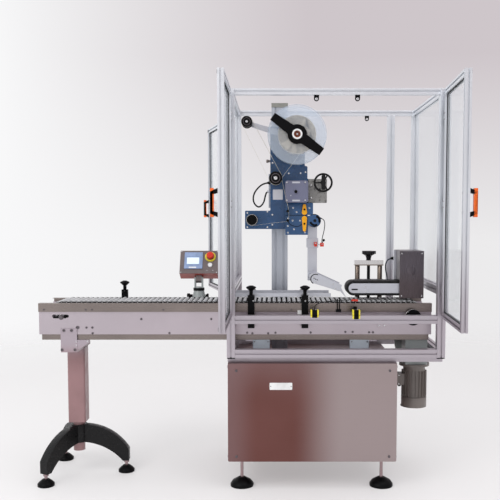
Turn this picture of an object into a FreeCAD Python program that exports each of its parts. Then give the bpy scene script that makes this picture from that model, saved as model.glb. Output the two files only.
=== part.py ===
"""Bottle labelling machine: roller conveyor, guard enclosure, label head and press belt.

Millimetres. +Z is up, +X is the way the bottles travel, and -Y is the operator's side.
The origin lies on the floor, in the middle of the machine's outline with its doors open.
"""
import FreeCAD, Part
import math
import os
import re

import Sketcher

# ---------------------------------------------------------------- driving sizes
# Each group holds (name, value). Every name is an alias in the sheet.
SIZES = {
    "guard frame": [
        ("frame_left", -56),
        ("frame_front", -572),
        ("frame_width", 1060),
        ("frame_depth", 800),
        ("frame_bottom", 658),
        ("machine_height", 1950),
        ("post_size", 40),
        ("top_rail_size", 30),
        ("work_rail_z", 824),
        ("side_rail_z", 966),
        ("rear_post_x", 825),
        ("slot_mouth", 8),
        ("slot_lip", 3),
        ("slot_inside", 12),
        ("slot_depth", 8),
        ("panel_thickness", 5),
        ("seat_gap", 0.3),
    ],
    "doors": [
        ("door_bar", 28),
        ("door_overlap", 6),
        ("door_meeting_gap", 6),
        ("door_left_angle", 90),
        ("door_right_angle", 87),
        ("rear_door_angle", 105),
        ("pin_from_side", 13),
        ("pin_from_face", 18),
        ("pin_radius", 3.5),
        ("pin_clearance", 0.05),
        ("knuckle_radius", 7),
        ("knuckle_height", 20),
        ("knuckle_gap", 0.3),
        ("leaf_thickness", 9),
        ("stile_from_pin", 9),
        ("hinge_inset", 130),
        ("handle_height", 120),
        ("handle_width", 26),
        ("handle_reach", 32),
        ("handle_grip", 12),
        ("handle_foot", 20),
        ("handle_shoulder", 14),
        ("handle_bottom", 1339),
        ("catch_width", 24),
        ("catch_drop", 16.8),
        ("catch_thickness", 6),
        ("catch_magnet_radius", 7.7),
        ("catch_magnet_height", 3),
        ("catch_from_meeting", 98),
        ("catch_from_post", 118),
    ],
    "cabinet": [
        ("cabinet_left", -53),
        ("cabinet_front", -557),
        ("cabinet_width", 828),
        ("cabinet_depth", 650),
        ("cabinet_bottom", 139),
        ("cabinet_top", 628),
        ("cabinet_wall", 2.5),
        ("cabinet_corner", 8),
        ("foot_inset_x", 66),
        ("foot_inset_y", 60),
        ("pad_radius", 58),
        ("pad_height", 44),
        ("pad_rim", 12),
        ("stud_radius", 8),
        ("stud_nut_height", 12),
        ("beam_width", 60),
        ("front_beam_y", -515),
        ("rear_beam_y", 20),
        ("stand_width", 90),
        ("stand_first_x", 30),
        ("stand_second_x", 600),
        ("stand_plate", 8),
    ],
    "conveyor": [
        ("conveyor_left", -1001),
        ("conveyor_length", 1960),
        ("conveyor_mid_y", -322),
        ("plate_span", 260),
        ("plate_thickness", 8),
        ("plate_bottom", 755),
        ("plate_top", 893),
        ("trim_top", 912),
        ("trim_bottom", 869),
        ("trim_proud", 10),
        ("trim_wall", 2),
        ("trim_cover", 20),
        ("tray_bottom", 727),
        ("tray_inset", 5),
        ("tray_wall", 3),
        ("tray_end_gap", 12),
        ("crossbar_radius", 7),
        ("crossbar_rise", 90),
        ("crossbar_count", 5),
        ("chain_pitch", 25.4),
        ("chain_top_pitches", 69),
        ("chain_wrap_pitches", 8),
        ("roller_radius", 9),
        ("roller_length", 208),
        ("chain_strip_width", 5),
        ("chain_strip_height", 13),
        ("chain_centre_top", 911),
        ("idler_from_end", 108),
        ("drum_clearance", 0.3),
        ("drum_length", 196),
        ("shaft_radius", 12),
        ("axle_radius", 8),
        ("shaft_clearance", 0.05),
        ("tension_slot", 66),
        ("hand_disc_radius", 40),
        ("hand_disc_thickness", 16),
        ("hand_disc_y", -500),
    ],
    "guides": [
        ("guide_left", -60),
        ("guide_length", 520),
        ("guide_bottom", 938),
        ("guide_height", 19),
        ("guide_thickness", 8),
        ("front_guide_y", -402),
        ("rear_guide_y", -242),
        ("clamp_first_x", 43),
        ("clamp_second_x", 310),
        ("clamp_rear_x", -641),
        ("clamp_rear_reach", 34),
        ("clamp_width", 33),
        ("clamp_depth", 20),
        ("clamp_bottom", 790),
        ("clamp_top", 954),
        ("guide_arm_radius", 6),
        ("knob_head_radius", 25),
        ("knob_neck_radius", 9),
        ("knob_height", 48),
    ],
    "drive": [
        ("motor_offset", 30.4),
        ("motor_y", -372),
        ("motor_bottom", 375),
        ("motor_top", 586),
        ("motor_radius", 55),
        ("motor_fin_height", 9),
        ("motor_fin_count", 20),
        ("motor_flange_radius", 76),
        ("motor_flange_thickness", 12),
        ("gearbox_width", 110),
        ("gearbox_depth", 120),
        ("guard_width", 130),
        ("guard_thickness", 34),
        ("guard_rise", 40),
        ("link_rise", 50),
        ("link_height", 60),
        ("fin_thickness", 3.2),
        ("fin_root", 4),
        ("terminal_box_reach", 34),
        ("terminal_box_width", 62),
        ("terminal_box_height", 58),
        ("terminal_box_rise", 112),
    ],
    "outrigger leg": [
        ("leg_from_end", 149),
        ("leg_y", -287),
        ("leg_size", 90),
        ("leg_bottom", 275),
        ("leg_top", 665),
        ("leg_corner", 10),
        ("leg_tube_radius", 30),
        ("leg_tube_bottom", 120),
        ("leg_bracket_width", 82),
        ("leg_bracket_top", 785),
        ("leg_bracket_thickness", 6),
        ("hub_radius", 42),
        ("hub_bottom", 165),
        ("hub_top", 258),
        ("arm_reach", 245),
        ("arm_width", 46),
        ("arm_end_top", 122),
        ("arm_end_bottom", 62),
        ("arm_turn", 2),
        ("small_pad_radius", 42),
        ("small_pad_height", 34),
    ],
    "label head": [
        ("column_x", 203),
        ("column_y", -79),
        ("column_size", 86),
        ("column_top", 1922),
        ("column_cap", 24),
        ("carriage_wall", 16),
        ("carriage_bottom", 1390),
        ("carriage_height", 180),
        ("head_front", -312),
        ("head_depth", 60),
        ("head_left", 154),
        ("head_bottom", 1279),
        ("head_top", 1800),
        ("head_top_width", 176),
        ("head_shoulder_z", 1600),
        ("head_shoulder_width", 190),
        ("head_waist_z", 1534),
        ("head_waist_width", 213),
        ("head_foot_top", 1373),
        ("head_foot_width", 191),
        ("rewind_reach", 130),
        ("casting_corner", 6),
        ("drive_plate_left", 231),
        ("drive_plate_top", 1412),
        ("drive_plate_bottom", 1351),
        ("drive_plate_width", 140),
        ("brake_plate_top", 1348),
        ("brake_plate_bottom", 1250),
        ("brake_plate_width", 114),
        ("drive_plate_depth", 46),
        ("cover_left", 229),
        ("cover_bottom", 1413),
        ("cover_width", 116),
        ("cover_height", 110),
        ("cover_depth", 80),
        ("cover_corner", 12),
        ("cover_boss_height", 6),
        ("head_cable_diameter", 8),
        ("lift_box_width", 76),
        ("lift_box_lip", 20),
        ("lift_box_bottom", 1413),
        ("lift_box_height", 120),
        ("lift_box_front", -342),
        ("lift_box_depth", 80),
        ("lift_box_round", 16),
        ("wheel_x", 419),
        ("wheel_z", 1512),
        ("wheel_front", -402),
        ("wheel_radius", 48),
        ("wheel_rim", 5),
        ("wheel_shaft", 7),
        ("wheel_hub", 13),
        ("wheel_hub_proud", 8),
        ("wheel_shaft_seat", 30),
        ("wheel_grip_length", 36),
        ("wheel_grip_proud", 30),
        ("lift_boss_height", 14),
        ("lift_bore_depth", 60),
    ],
    "label reel": [
        ("reel_x", 288),
        ("reel_z", 1750),
        ("reel_radius", 147),
        ("reel_disc_thickness", 3),
        ("reel_front", -412),
        ("reel_width", 70),
        ("roll_radius", 95),
        ("core_radius", 38),
        ("hub_ring_radius", 29),
        ("hub_hole_radius", 21),
        ("reel_shaft_radius", 14),
        ("clamp_span", 300),
        ("clamp_hub_radius", 48),
        ("clamp_hub_width", 44),
        ("clamp_end_width", 40),
        ("clamp_thickness", 14),
        ("clamp_turn", 35.6),
        ("clamp_hub_flare", 6),
        ("hub_ring_proud", 4),
        ("hub_hole_depth", 44),
        ("shaft_seat", 40),
    ],
    "web path": [
        ("dancer_x", 37),
        ("dancer_z", 1815),
        ("dancer_pivot_x", 190),
        ("dancer_pivot_z", 1768),
        ("dancer_roller_radius", 27),
        ("dancer_arm_half", 15),
        ("dancer_arm_front", -326),
        ("dancer_arm_thickness", 10),
        ("roller_front", -402),
        ("web_roller_x", 181),
        ("web_roller_z", 1535),
        ("web_roller_radius", 33),
        ("rewind_x", 62),
        ("rewind_z", 1326),
        ("rewind_radius", 29),
        ("roller_groove", 3),
        ("pin_radius_web", 8),
        ("lever_x", 327),
        ("lever_upper_z", 1364),
        ("lever_upper_length", 34),
        ("lever_lower_z", 1333),
        ("lever_lower_length", 58),
        ("lever_hub_radius", 13),
        ("lever_tail_radius", 8),
        ("lever_thickness", 10),
        ("lever_pin_radius", 5),
        ("nose_x", 380),
        ("nose_z", 1322),
        ("nose_radius", 30),
        ("nose_thickness", 12),
        ("nose_front", -366),
        ("drive_roller_radius", 34),
        ("drive_roller_length", 50),
    ],
    "dispensing arm": [
        ("peel_column_x", 374),
        ("peel_column_size", 48),
        ("peel_column_bottom", 1008),
        ("peel_column_top", 1345),
        ("peel_bracket_thickness", 12),
        ("peel_bracket_bottom", 1285),
        ("peel_bracket_overlap", 60),
        ("peel_clamp_bottom", 1181),
        ("peel_clamp_top", 1230),
        ("peel_clamp_wall", 6),
        ("peel_end_x", 380),
        ("peel_end_z", 1032),
        ("peel_arm_length", 140),
        ("peel_arm_radius", 26),
        ("peel_arm_tip", 17),
        ("peel_arm_front", -400),
        ("peel_arm_tilt", 21),
        ("peel_plate_thickness", 6),
        ("peel_roller_radius", 24),
        ("peel_blade_tip_x", 536),
        ("peel_blade_tip_z", 938),
        ("peel_blade_thickness", 3),
    ],
    "press belt": [
        ("press_left", 540),
        ("press_right", 880),
        ("press_front", -372),
        ("press_width", 110),
        ("belt_centre_z", 979),
        ("belt_outer_radius", 37),
        ("belt_thickness", 12),
        ("press_rod_left", 618.5),
        ("press_rod_right", 738),
        ("press_rod_y", -162),
        ("press_rod_radius", 13),
        ("press_rod_top", 1083),
        ("press_foot_bottom", 800),
        ("press_foot_top", 905),
        ("press_block_depth", 40),
        ("top_plate_left", 602),
        ("top_plate_width", 153),
        ("top_plate_thickness", 27),
        ("spindle_x", 678),
        ("spindle_radius", 8.5),
        ("carriage_block_bottom", 945),
        ("carriage_block_top", 1010),
        ("carriage_arm_left", 640),
        ("carriage_arm_width", 76),
        ("carriage_arm_thickness", 20),
        ("star_knob_radius", 39),
        ("star_knob_height", 40),
        ("star_knob_rise", 10),
        ("star_lobe_radius", 10),
        ("spindle_end_gap", 5),
        ("box_left", 808),
        ("box_width", 122),
        ("box_bottom", 930),
        ("box_top", 1169),
        ("box_front", -392),
        ("box_depth", 190),
        ("box_wall", 2),
        ("box_gap", 4),
        ("drive_web_thickness", 12),
        ("drive_box_inset", 7),
        ("drive_box_depth", 90),
        ("drive_box_bottom", 1000),
        ("drive_box_corner", 6),
        ("press_web_inset", 10),
        ("press_cable_diameter", 7),
    ],
    "operator panel": [
        ("panel_x", -231),
        ("panel_y", -146),
        ("panel_pivot_z", 1006),
        ("panel_width", 206),
        ("panel_height", 138),
        ("panel_depth", 62),
        ("panel_tilt", 30),
        ("panel_rise", 20),
        ("panel_corner", 4),
        ("panel_base_z", 905),
        ("panel_base_radius", 36),
        ("panel_base_height", 40),
        ("panel_arm_bottom", 880),
        ("panel_neck_radius", 20),
        ("panel_ear_thickness", 8),
        ("panel_ear_gap", 30),
        ("panel_ear_half", 14),
        ("panel_ear_rise", 5),
        ("panel_ear_above_pin", 12),
        ("panel_socket_depth", 10),
        ("neck_flange_height", 14),
        ("neck_top", 22),
        ("neck_flange_proud", 8),
        ("panel_pin_radius", 6),
        ("screen_width", 98),
        ("screen_height", 98),
        ("screen_thickness", 5),
        ("screen_from_left", 24),
        ("screen_from_top", 12),
        ("stop_from_left", 163),
        ("stop_from_top", 38),
        ("stop_collar_radius", 29),
        ("stop_collar_height", 5),
        ("stop_radius", 20),
        ("stop_neck_radius", 12),
        ("stop_height", 24),
        ("stop_gap", 6),
        ("start_from_top", 88),
        ("start_radius", 12),
        ("start_height", 7),
        ("button_depth", 10),
        ("button_clearance", 0.3),
    ],
}
NAMES = {name for group in SIZES.values() for name, value in group}

doc = FreeCAD.newDocument("labelling_machine")
sheet = doc.addObject("Spreadsheet::Sheet", "Sizes")
parts = []


def fill_sheet():
    row = 1
    for group, cells in SIZES.items():
        sheet.set(f"A{row}", group)
        row += 1
        for name, value in cells:
            sheet.set(f"A{row}", name)
            sheet.set(f"B{row}", str(value))
            sheet.setAlias(f"B{row}", name)
            row += 1
    doc.recompute()


# ---------------------------------------------------------------- building helpers
# A size is written as a formula of the sheet's names, such as "frame_left + post_size / 2".
def formula(text):
    return re.sub(r"[a-z_]\w*", lambda word: qualified(word.group()), str(text))


def qualified(word):
    return "Sizes." + word if word in NAMES else word


def number(text):
    return float(sheet.evalExpression(formula(text)))


def bind(item, **formulas):
    for name, text in formulas.items():
        item.setExpression(name, formula(text))


TURNS = {
    "x": FreeCAD.Rotation(FreeCAD.Vector(0, 1, 0), 90),
    "y": FreeCAD.Rotation(FreeCAD.Vector(1, 0, 0), -90),
    "z": FreeCAD.Rotation(),
}


def place(item, x, y, z, turn=None):
    item.Placement = FreeCAD.Placement(FreeCAD.Vector(), turn or TURNS["z"])
    item.setExpression("Placement.Base.x", formula(x))
    item.setExpression("Placement.Base.y", formula(y))
    item.setExpression("Placement.Base.z", formula(z))
    return item


def box(name, x, y, z, length, width, height):
    item = doc.addObject("Part::Box", name)
    bind(item, Length=length, Width=width, Height=height)
    return place(item, x, y, z)


def rod(name, axis, x, y, z, radius, length):
    item = doc.addObject("Part::Cylinder", name)
    bind(item, Radius=radius, Height=length)
    return place(item, x, y, z, TURNS[axis])


def cone(name, axis, x, y, z, radius_low, radius_high, length):
    item = doc.addObject("Part::Cone", name)
    bind(item, Radius1=radius_low, Radius2=radius_high, Height=length)
    return place(item, x, y, z, TURNS[axis])


def fused(name, *pieces):
    item = doc.addObject("Part::MultiFuse", name)
    item.Shapes = list(pieces)
    item.Refine = True
    return item


def less(name, base, *tools):
    item = doc.addObject("Part::Cut", name)
    item.Base = base
    item.Tool = tools[0] if len(tools) == 1 else fused(name + "_tools", *tools)
    return item


def group(name, *solids):
    item = doc.addObject("Part::Compound", name)
    item.Links = list(solids)
    return item


def keep(item, label):
    item.Label = label
    parts.append(item)
    return item


def make_body(name):
    return doc.addObject("PartDesign::Body", name)


def sketch_on(body, role, name, offset="0"):
    planes = {plane.Role: plane for plane in body.Origin.OriginFeatures}
    sketch = body.newObject("Sketcher::SketchObject", name)
    sketch.AttachmentSupport = [(planes[role], "")]
    sketch.MapMode = "FlatFace"
    sketch.setExpression("AttachmentOffset.Base.z", formula(offset))
    return sketch


def outline(sketch, points):
    """Closes an outline through points (x, y) or (x, y, radius of the arc that follows)."""
    first = sketch.GeometryCount
    count = len(points)
    places = [FreeCAD.Vector(number(point[0]), number(point[1]), 0) for point in points]
    for index, point in enumerate(points):
        start = places[index]
        end = places[(index + 1) % count]
        if len(point) == 2:
            sketch.addGeometry(Part.LineSegment(start, end), False)
        else:
            sketch.addGeometry(bulging_arc(start, end, number(point[2])), False)
    for index, point in enumerate(points):
        line = first + index
        after = first + (index + 1) % count
        sketch.addConstraint(Sketcher.Constraint("Coincident", line, far_end(points, index), after,
                                                 near_end(points, (index + 1) % count)))
        start = near_end(points, index)
        fix(sketch, "DistanceX", point[0], -1, 1, line, start)
        fix(sketch, "DistanceY", point[1], -1, 1, line, start)
        if len(point) == 3:
            fix_arc(sketch, line, point, places[index], places[(index + 1) % count])


def fix_arc(sketch, arc, point, start, end):
    """Holds an arc by its radius, and a half circle by its centre."""
    x, y, radius = point
    chord = end - start
    if chord.Length < 1.999 * abs(number(radius)):
        fix(sketch, "Radius", radius.lstrip("-"), arc)
    elif abs(chord.x) < abs(chord.y):
        fix(sketch, "DistanceX", x, -1, 1, arc, 3)
    else:
        fix(sketch, "DistanceY", y, -1, 1, arc, 3)


def bulging_arc(start, end, radius):
    """An arc from start to end, to the right of the way from start to end if radius > 0."""
    chord = end - start
    side = FreeCAD.Vector(-chord.y, chord.x, 0)
    side.normalize()
    rise = math.sqrt(max(radius * radius - chord.Length ** 2 / 4, 0))
    centre = (start + end) / 2 + side * rise * math.copysign(1, radius)
    first, last = (start, end) if radius > 0 else (end, start)
    low = math.atan2(first.y - centre.y, first.x - centre.x)
    high = math.atan2(last.y - centre.y, last.x - centre.x)
    if high <= low:
        high += 2 * math.pi
    circle = Part.Circle(centre, FreeCAD.Vector(0, 0, 1), abs(radius))
    return Part.ArcOfCircle(circle, low, high)


def near_end(points, index):
    point = points[index]
    return 2 if len(point) == 3 and number(point[2]) < 0 else 1


def far_end(points, index):
    return 3 - near_end(points, index)


def fix(sketch, kind, text, *where):
    index = sketch.addConstraint(Sketcher.Constraint(kind, *where, number(text)))
    sketch.setExpression(f"Constraints[{index}]", formula(text))


def circle(sketch, x, y, radius):
    spot = FreeCAD.Vector(number(x), number(y), 0)
    index = sketch.addGeometry(Part.Circle(spot, FreeCAD.Vector(0, 0, 1), number(radius)), False)
    fix(sketch, "DistanceX", x, -1, 1, index, 3)
    fix(sketch, "DistanceY", y, -1, 1, index, 3)
    fix(sketch, "Radius", radius, index)


def rectangle(sketch, x, y, width, height):
    right = f"({x}) + ({width})"
    top = f"({y}) + ({height})"
    outline(sketch, [(x, y), (right, y), (right, top), (x, top)])


def pad(body, sketch, name, length, back=False, middle=False):
    item = body.newObject("PartDesign::Pad", name)
    item.Profile = sketch
    item.Reversed = back
    if middle:
        item.SideType = "Symmetric"
    bind(item, Length=length)
    return item


def pocket(body, sketch, name, length, back=False, middle=False):
    doc.recompute()
    item = body.newObject("PartDesign::Pocket", name)
    item.Profile = sketch
    item.Reversed = back
    if middle:
        item.SideType = "Symmetric"
    bind(item, Length=length)
    return item


def revolved(body, sketch, name, axis="V_Axis"):
    item = body.newObject("PartDesign::Revolution", name)
    item.Profile = sketch
    item.ReferenceAxis = (sketch, [axis])
    item.Angle = 360
    return item


def edges_along(shape, direction, shortest=0.0):
    """Names of the straight edges of a shape that run along a direction."""
    names = []
    for index, edge in enumerate(shape.Edges):
        if edge.Curve.TypeId != "Part::GeomLine":
            continue
        if abs(edge.Curve.Direction.dot(direction)) > 0.999 and edge.Length > shortest:
            names.append(f"Edge{index + 1}")
    return names


def rounded(body, base, name, direction, radius, shortest="0"):
    """Rounds the edges of a body's feature that run along a direction."""
    doc.recompute()
    item = body.newObject("PartDesign::Fillet", name)
    item.Base = (base, edges_along(base.Shape, direction, number(shortest)))
    bind(item, Radius=radius)
    return item


# ---------------------------------------------------------------- slotted bars
def bar_section(name, bar_size):
    """Section of a square bar with one T-slot in the middle of each side."""
    sketch = doc.addObject("Sketcher::SketchObject", name)
    half = f"{bar_size} / 2"
    steps = [
        (half, "-slot_mouth / 2"),
        (f"{half} - slot_lip", "-slot_mouth / 2"),
        (f"{half} - slot_lip", "-slot_inside / 2"),
        (f"{half} - slot_depth", "-slot_inside / 2"),
        (f"{half} - slot_depth", "slot_inside / 2"),
        (f"{half} - slot_lip", "slot_inside / 2"),
        (f"{half} - slot_lip", "slot_mouth / 2"),
        (half, "slot_mouth / 2"),
        (half, half),
    ]
    points = []
    for x, y in steps:
        points.append((x, y))
    for x, y in steps:
        points.append((f"-({y})", x))
    for x, y in steps:
        points.append((f"-({x})", f"-({y})"))
    for x, y in steps:
        points.append((y, f"-({x})"))
    outline(sketch, points)
    return sketch


def bar(name, section, axis, x, y, z, length):
    """A slotted bar whose middle line starts at (x, y, z)."""
    item = doc.addObject("Part::Extrusion", name)
    item.Base = section
    item.DirMode = "Normal"
    item.Solid = True
    bind(item, LengthFwd=length)
    return place(item, x, y, z, TURNS[axis])


FRAME_RIGHT = "(frame_left + frame_width)"
LEFT_LINE = "(frame_left + post_size / 2)"
RIGHT_LINE = "(frame_left + frame_width - post_size / 2)"
FRONT_LINE = "(frame_front + post_size / 2)"
BACK_LINE = "(frame_front + frame_depth - post_size / 2)"
REAR_POST_LINE = "(rear_post_x + post_size / 2)"
BAR_WIDE = "(frame_width - 2 * post_size)"
BAR_DEEP = "(frame_depth - 2 * post_size)"


def make_frame(post, top):
    height = "machine_height - frame_bottom"
    posts = []
    corners = [(LEFT_LINE, FRONT_LINE), (RIGHT_LINE, FRONT_LINE), (LEFT_LINE, BACK_LINE),
               (RIGHT_LINE, BACK_LINE)]
    for index, (x, y) in enumerate(corners):
        posts.append(bar(f"post_{index}", post, "z", x, y, "frame_bottom", height))
    rear_base = "(work_rail_z + post_size)"
    rear_height = f"machine_height - top_rail_size - {rear_base}"
    posts.append(bar("post_rear", post, "z", REAR_POST_LINE, BACK_LINE, rear_base, rear_height))
    keep(group("frame_posts", *posts), "frame_posts")

    low = "frame_bottom + post_size / 2"
    work = "work_rail_z + post_size / 2"
    side = "side_rail_z + post_size / 2"
    high = "machine_height - top_rail_size / 2"
    start_x = "frame_left + post_size"
    start_y = "frame_front + post_size"
    rails = []
    for name, section, z in (("low", post, low), ("work", post, work), ("top", top, high)):
        rails.append(bar(f"rail_{name}_front", section, "x", start_x, FRONT_LINE, z, BAR_WIDE))
        rails.append(bar(f"rail_{name}_back", section, "x", start_x, BACK_LINE, z, BAR_WIDE))
    for name, section, z in (("low", post, low), ("side", post, side), ("top", top, high)):
        rails.append(bar(f"rail_{name}_left", section, "y", LEFT_LINE, start_y, z, BAR_DEEP))
        rails.append(bar(f"rail_{name}_right", section, "y", RIGHT_LINE, start_y, z, BAR_DEEP))
    keep(group("frame_rails", *rails), "frame_rails")


def make_fixed_panels():
    bite = "(slot_depth - seat_gap)"
    z = f"side_rail_z + post_size - {bite}"
    height = f"machine_height - top_rail_size - side_rail_z - post_size + 2 * {bite}"
    y = f"frame_front + post_size - {bite}"
    depth = f"{BAR_DEEP} + 2 * {bite}"
    left = box("panel_left", f"{LEFT_LINE} - panel_thickness / 2", y, z, "panel_thickness", depth, height)
    right = box("panel_right", f"{RIGHT_LINE} - panel_thickness / 2", y, z, "panel_thickness", depth,
                height)
    x = f"rear_post_x + post_size - {bite}"
    width = f"{FRAME_RIGHT} - 2 * post_size - rear_post_x + 2 * {bite}"
    rear_z = f"work_rail_z + post_size - {bite}"
    rear_height = f"machine_height - top_rail_size - work_rail_z - post_size + 2 * {bite}"
    rear = box("panel_rear", x, f"{BACK_LINE} - panel_thickness / 2", rear_z, width, "panel_thickness",
               rear_height)
    keep(group("fixed_panels", left, right, rear), "fixed_panels")


# ---------------------------------------------------------------- doors
# A door is drawn closed, with its hinge pin on the Z axis and its leaf along +X or -X.
FRONT_PIN_Y = "(frame_front - pin_from_face)"
REAR_PIN_Y = "(frame_front + frame_depth + pin_from_face)"
LEFT_PIN_X = "(frame_left + pin_from_side)"
RIGHT_PIN_X = "(frame_left + frame_width - pin_from_side)"
FRONT_LEAF = "(frame_width / 2 - pin_from_side - stile_from_pin - door_meeting_gap / 2)"
REAR_LEAF = "(rear_post_x + post_size / 2 - frame_left - pin_from_side - stile_from_pin)"
DOOR_BOTTOM = "(work_rail_z + post_size - door_overlap)"
DOOR_TOP = "(machine_height - door_overlap)"
DOOR_HEIGHT = f"({DOOR_TOP} - {DOOR_BOTTOM})"
HINGE_HEIGHTS = (f"{DOOR_BOTTOM} + hinge_inset", f"({DOOR_BOTTOM} + {DOOR_TOP}) / 2",
                 f"{DOOR_TOP} - hinge_inset")


def make_door(name, section, side, leaf, pin_x, pin_y, turn, outside):
    """side is 1 for a leaf along +X; outside is -1 where the door's outer face looks along -Y."""
    near = "stile_from_pin" if side > 0 else f"-(stile_from_pin + {leaf})"
    bars = [
        bar(f"{name}_stile_a", section, "z", f"{near} + door_bar / 2", "0", DOOR_BOTTOM, DOOR_HEIGHT),
        bar(f"{name}_stile_b", section, "z", f"{near} + {leaf} - door_bar / 2", "0", DOOR_BOTTOM,
            DOOR_HEIGHT),
    ]
    rail_length = f"{leaf} - 2 * door_bar"
    for index, z in enumerate((f"{DOOR_BOTTOM} + door_bar / 2", f"{DOOR_TOP} - door_bar / 2")):
        bars.append(bar(f"{name}_rail_{index}", section, "x", f"{near} + door_bar", "0", z, rail_length))
    for index, z in enumerate(HINGE_HEIGHTS):
        bars.append(door_knuckle(f"{name}_knuckle_{index}", side, z))
    spin = FreeCAD.Rotation(FreeCAD.Vector(0, 0, 1), turn)
    frame = keep(group(f"{name}_frame", *bars), f"{name}_frame")
    place(frame, pin_x, pin_y, "0", spin)

    bite = "(slot_depth - seat_gap)"
    pane = box(f"{name}_sheet", f"{near} + door_bar - {bite}", "-panel_thickness / 2",
               f"{DOOR_BOTTOM} + door_bar - {bite}", f"{rail_length} + 2 * {bite}", "panel_thickness",
               f"{DOOR_HEIGHT} - 2 * door_bar + 2 * {bite}")
    pane = keep(group(f"{name}_pane", pane), f"{name}_panel")
    place(pane, pin_x, pin_y, "0", spin)
    make_handle(name, near, side, leaf, pin_x, pin_y, spin, outside)


def door_knuckle(name, side, z):
    """The door's knuckle, with its web out to the stile."""
    bottom = f"{z} - knuckle_height / 2"
    barrel = rod(f"{name}_barrel", "z", "0", "0", bottom, "knuckle_radius", "knuckle_height")
    x = "0" if side > 0 else "-stile_from_pin"
    web = box(f"{name}_web", x, "-leaf_thickness / 2", bottom, "stile_from_pin", "leaf_thickness",
              "knuckle_height")
    bore = rod(f"{name}_bore", "z", "0", "0", bottom, "pin_radius + pin_clearance", "knuckle_height")
    return less(name, fused(f"{name}_solid", barrel, web), bore)


def make_handle(name, near, side, leaf, pin_x, pin_y, spin, outside):
    """A bow handle on the free stile: two feet and a grip with rounded shoulders."""
    body = make_body(f"{name}_grip")
    sketch = sketch_on(body, "YZ_Plane", f"{name}_handle_side")
    reach = "handle_reach" if outside > 0 else "-handle_reach"
    inner = "(handle_reach - handle_grip)" if outside > 0 else "(handle_grip - handle_reach)"
    foot = "(handle_foot + handle_grip / 2)"
    outline(sketch, [("0", "0"), (reach, "handle_shoulder"), (reach, "handle_height - handle_shoulder"),
                     ("0", "handle_height"), ("0", "handle_height - handle_foot"),
                     (inner, f"handle_height - {foot}"), (inner, foot), ("0", "handle_foot")])
    pad(body, sketch, f"{name}_handle_pad", "handle_width", middle=True)
    free = f"({near} + {leaf} - door_bar / 2)" if side > 0 else f"({near} + door_bar / 2)"
    face = "door_bar / 2" if outside > 0 else "-door_bar / 2"
    handle = keep(group(f"{name}_handle_set", body), f"{name}_handle")
    place(body, free, face, "handle_bottom")
    place(handle, pin_x, pin_y, "0", spin)


def make_doors(section):
    make_door("door_left", section, 1, FRONT_LEAF, LEFT_PIN_X, FRONT_PIN_Y,
              -number("door_left_angle"), -1)
    make_door("door_right", section, -1, FRONT_LEAF, RIGHT_PIN_X, FRONT_PIN_Y,
              number("door_right_angle"), -1)
    make_door("rear_door", section, 1, REAR_LEAF, LEFT_PIN_X, REAR_PIN_Y,
              number("rear_door_angle"), 1)


def make_door_hardware():
    """Frame-side hinge knuckles with their pins, and the catches under the top rails."""
    solids = []
    sets = ((LEFT_PIN_X, FRONT_PIN_Y, -1), (RIGHT_PIN_X, FRONT_PIN_Y, -1), (LEFT_PIN_X, REAR_PIN_Y, 1))
    for door, (x, y, side) in enumerate(sets):
        for index, z in enumerate(HINGE_HEIGHTS):
            solids.append(frame_hinge(f"hinge_{door}_{index}", x, y, z, side))
    meeting = "(frame_left + frame_width / 2)"
    for index, (x, y) in enumerate(((f"{meeting} - catch_from_meeting", FRONT_LINE),
                                    (f"{meeting} + catch_from_meeting", FRONT_LINE),
                                    ("rear_post_x - catch_from_post", BACK_LINE))):
        solids.append(door_catch(f"catch_{index}", x, y))
    keep(group("door_hardware", *solids), "door_hardware")


def frame_hinge(name, x, y, z, side):
    """Two knuckles above and below the door's, joined by a plate on the post, and the pin."""
    half = "(knuckle_height / 2 + knuckle_gap)"
    plate_y = f"{y}" if side < 0 else f"{y} - pin_from_face"
    pieces = []
    for index, bottom in enumerate((f"{z} + {half}", f"{z} - {half} - knuckle_height")):
        pieces.append(rod(f"{name}_barrel_{index}", "z", x, y, bottom, "knuckle_radius",
                          "knuckle_height"))
        pieces.append(box(f"{name}_web_{index}", f"{x} - leaf_thickness / 2", plate_y, bottom,
                          "leaf_thickness", "pin_from_face", "knuckle_height"))
    pieces.append(rod(f"{name}_pin", "z", x, y, f"{z} - {half} - knuckle_height", "pin_radius",
                      f"2 * {half} + 2 * knuckle_height"))
    return fused(name, *pieces)


def door_catch(name, x, y):
    """A hanging tab with a round magnet face, under a top rail."""
    body = make_body(name)
    sketch = sketch_on(body, "XZ_Plane", f"{name}_face")
    outline(sketch, [("-catch_width / 2", "0"), ("-catch_width / 2", "-catch_drop", "catch_width / 2"),
                     ("catch_width / 2", "-catch_drop"), ("catch_width / 2", "0")])
    pad(body, sketch, f"{name}_pad", "catch_thickness", back=True)
    face = sketch_on(body, "XZ_Plane", f"{name}_magnet")
    circle(face, "0", "-catch_drop", "catch_magnet_radius")
    pad(body, face, f"{name}_magnet_pad", "catch_magnet_height")
    return place(body, x, y, "machine_height - top_rail_size")


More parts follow.
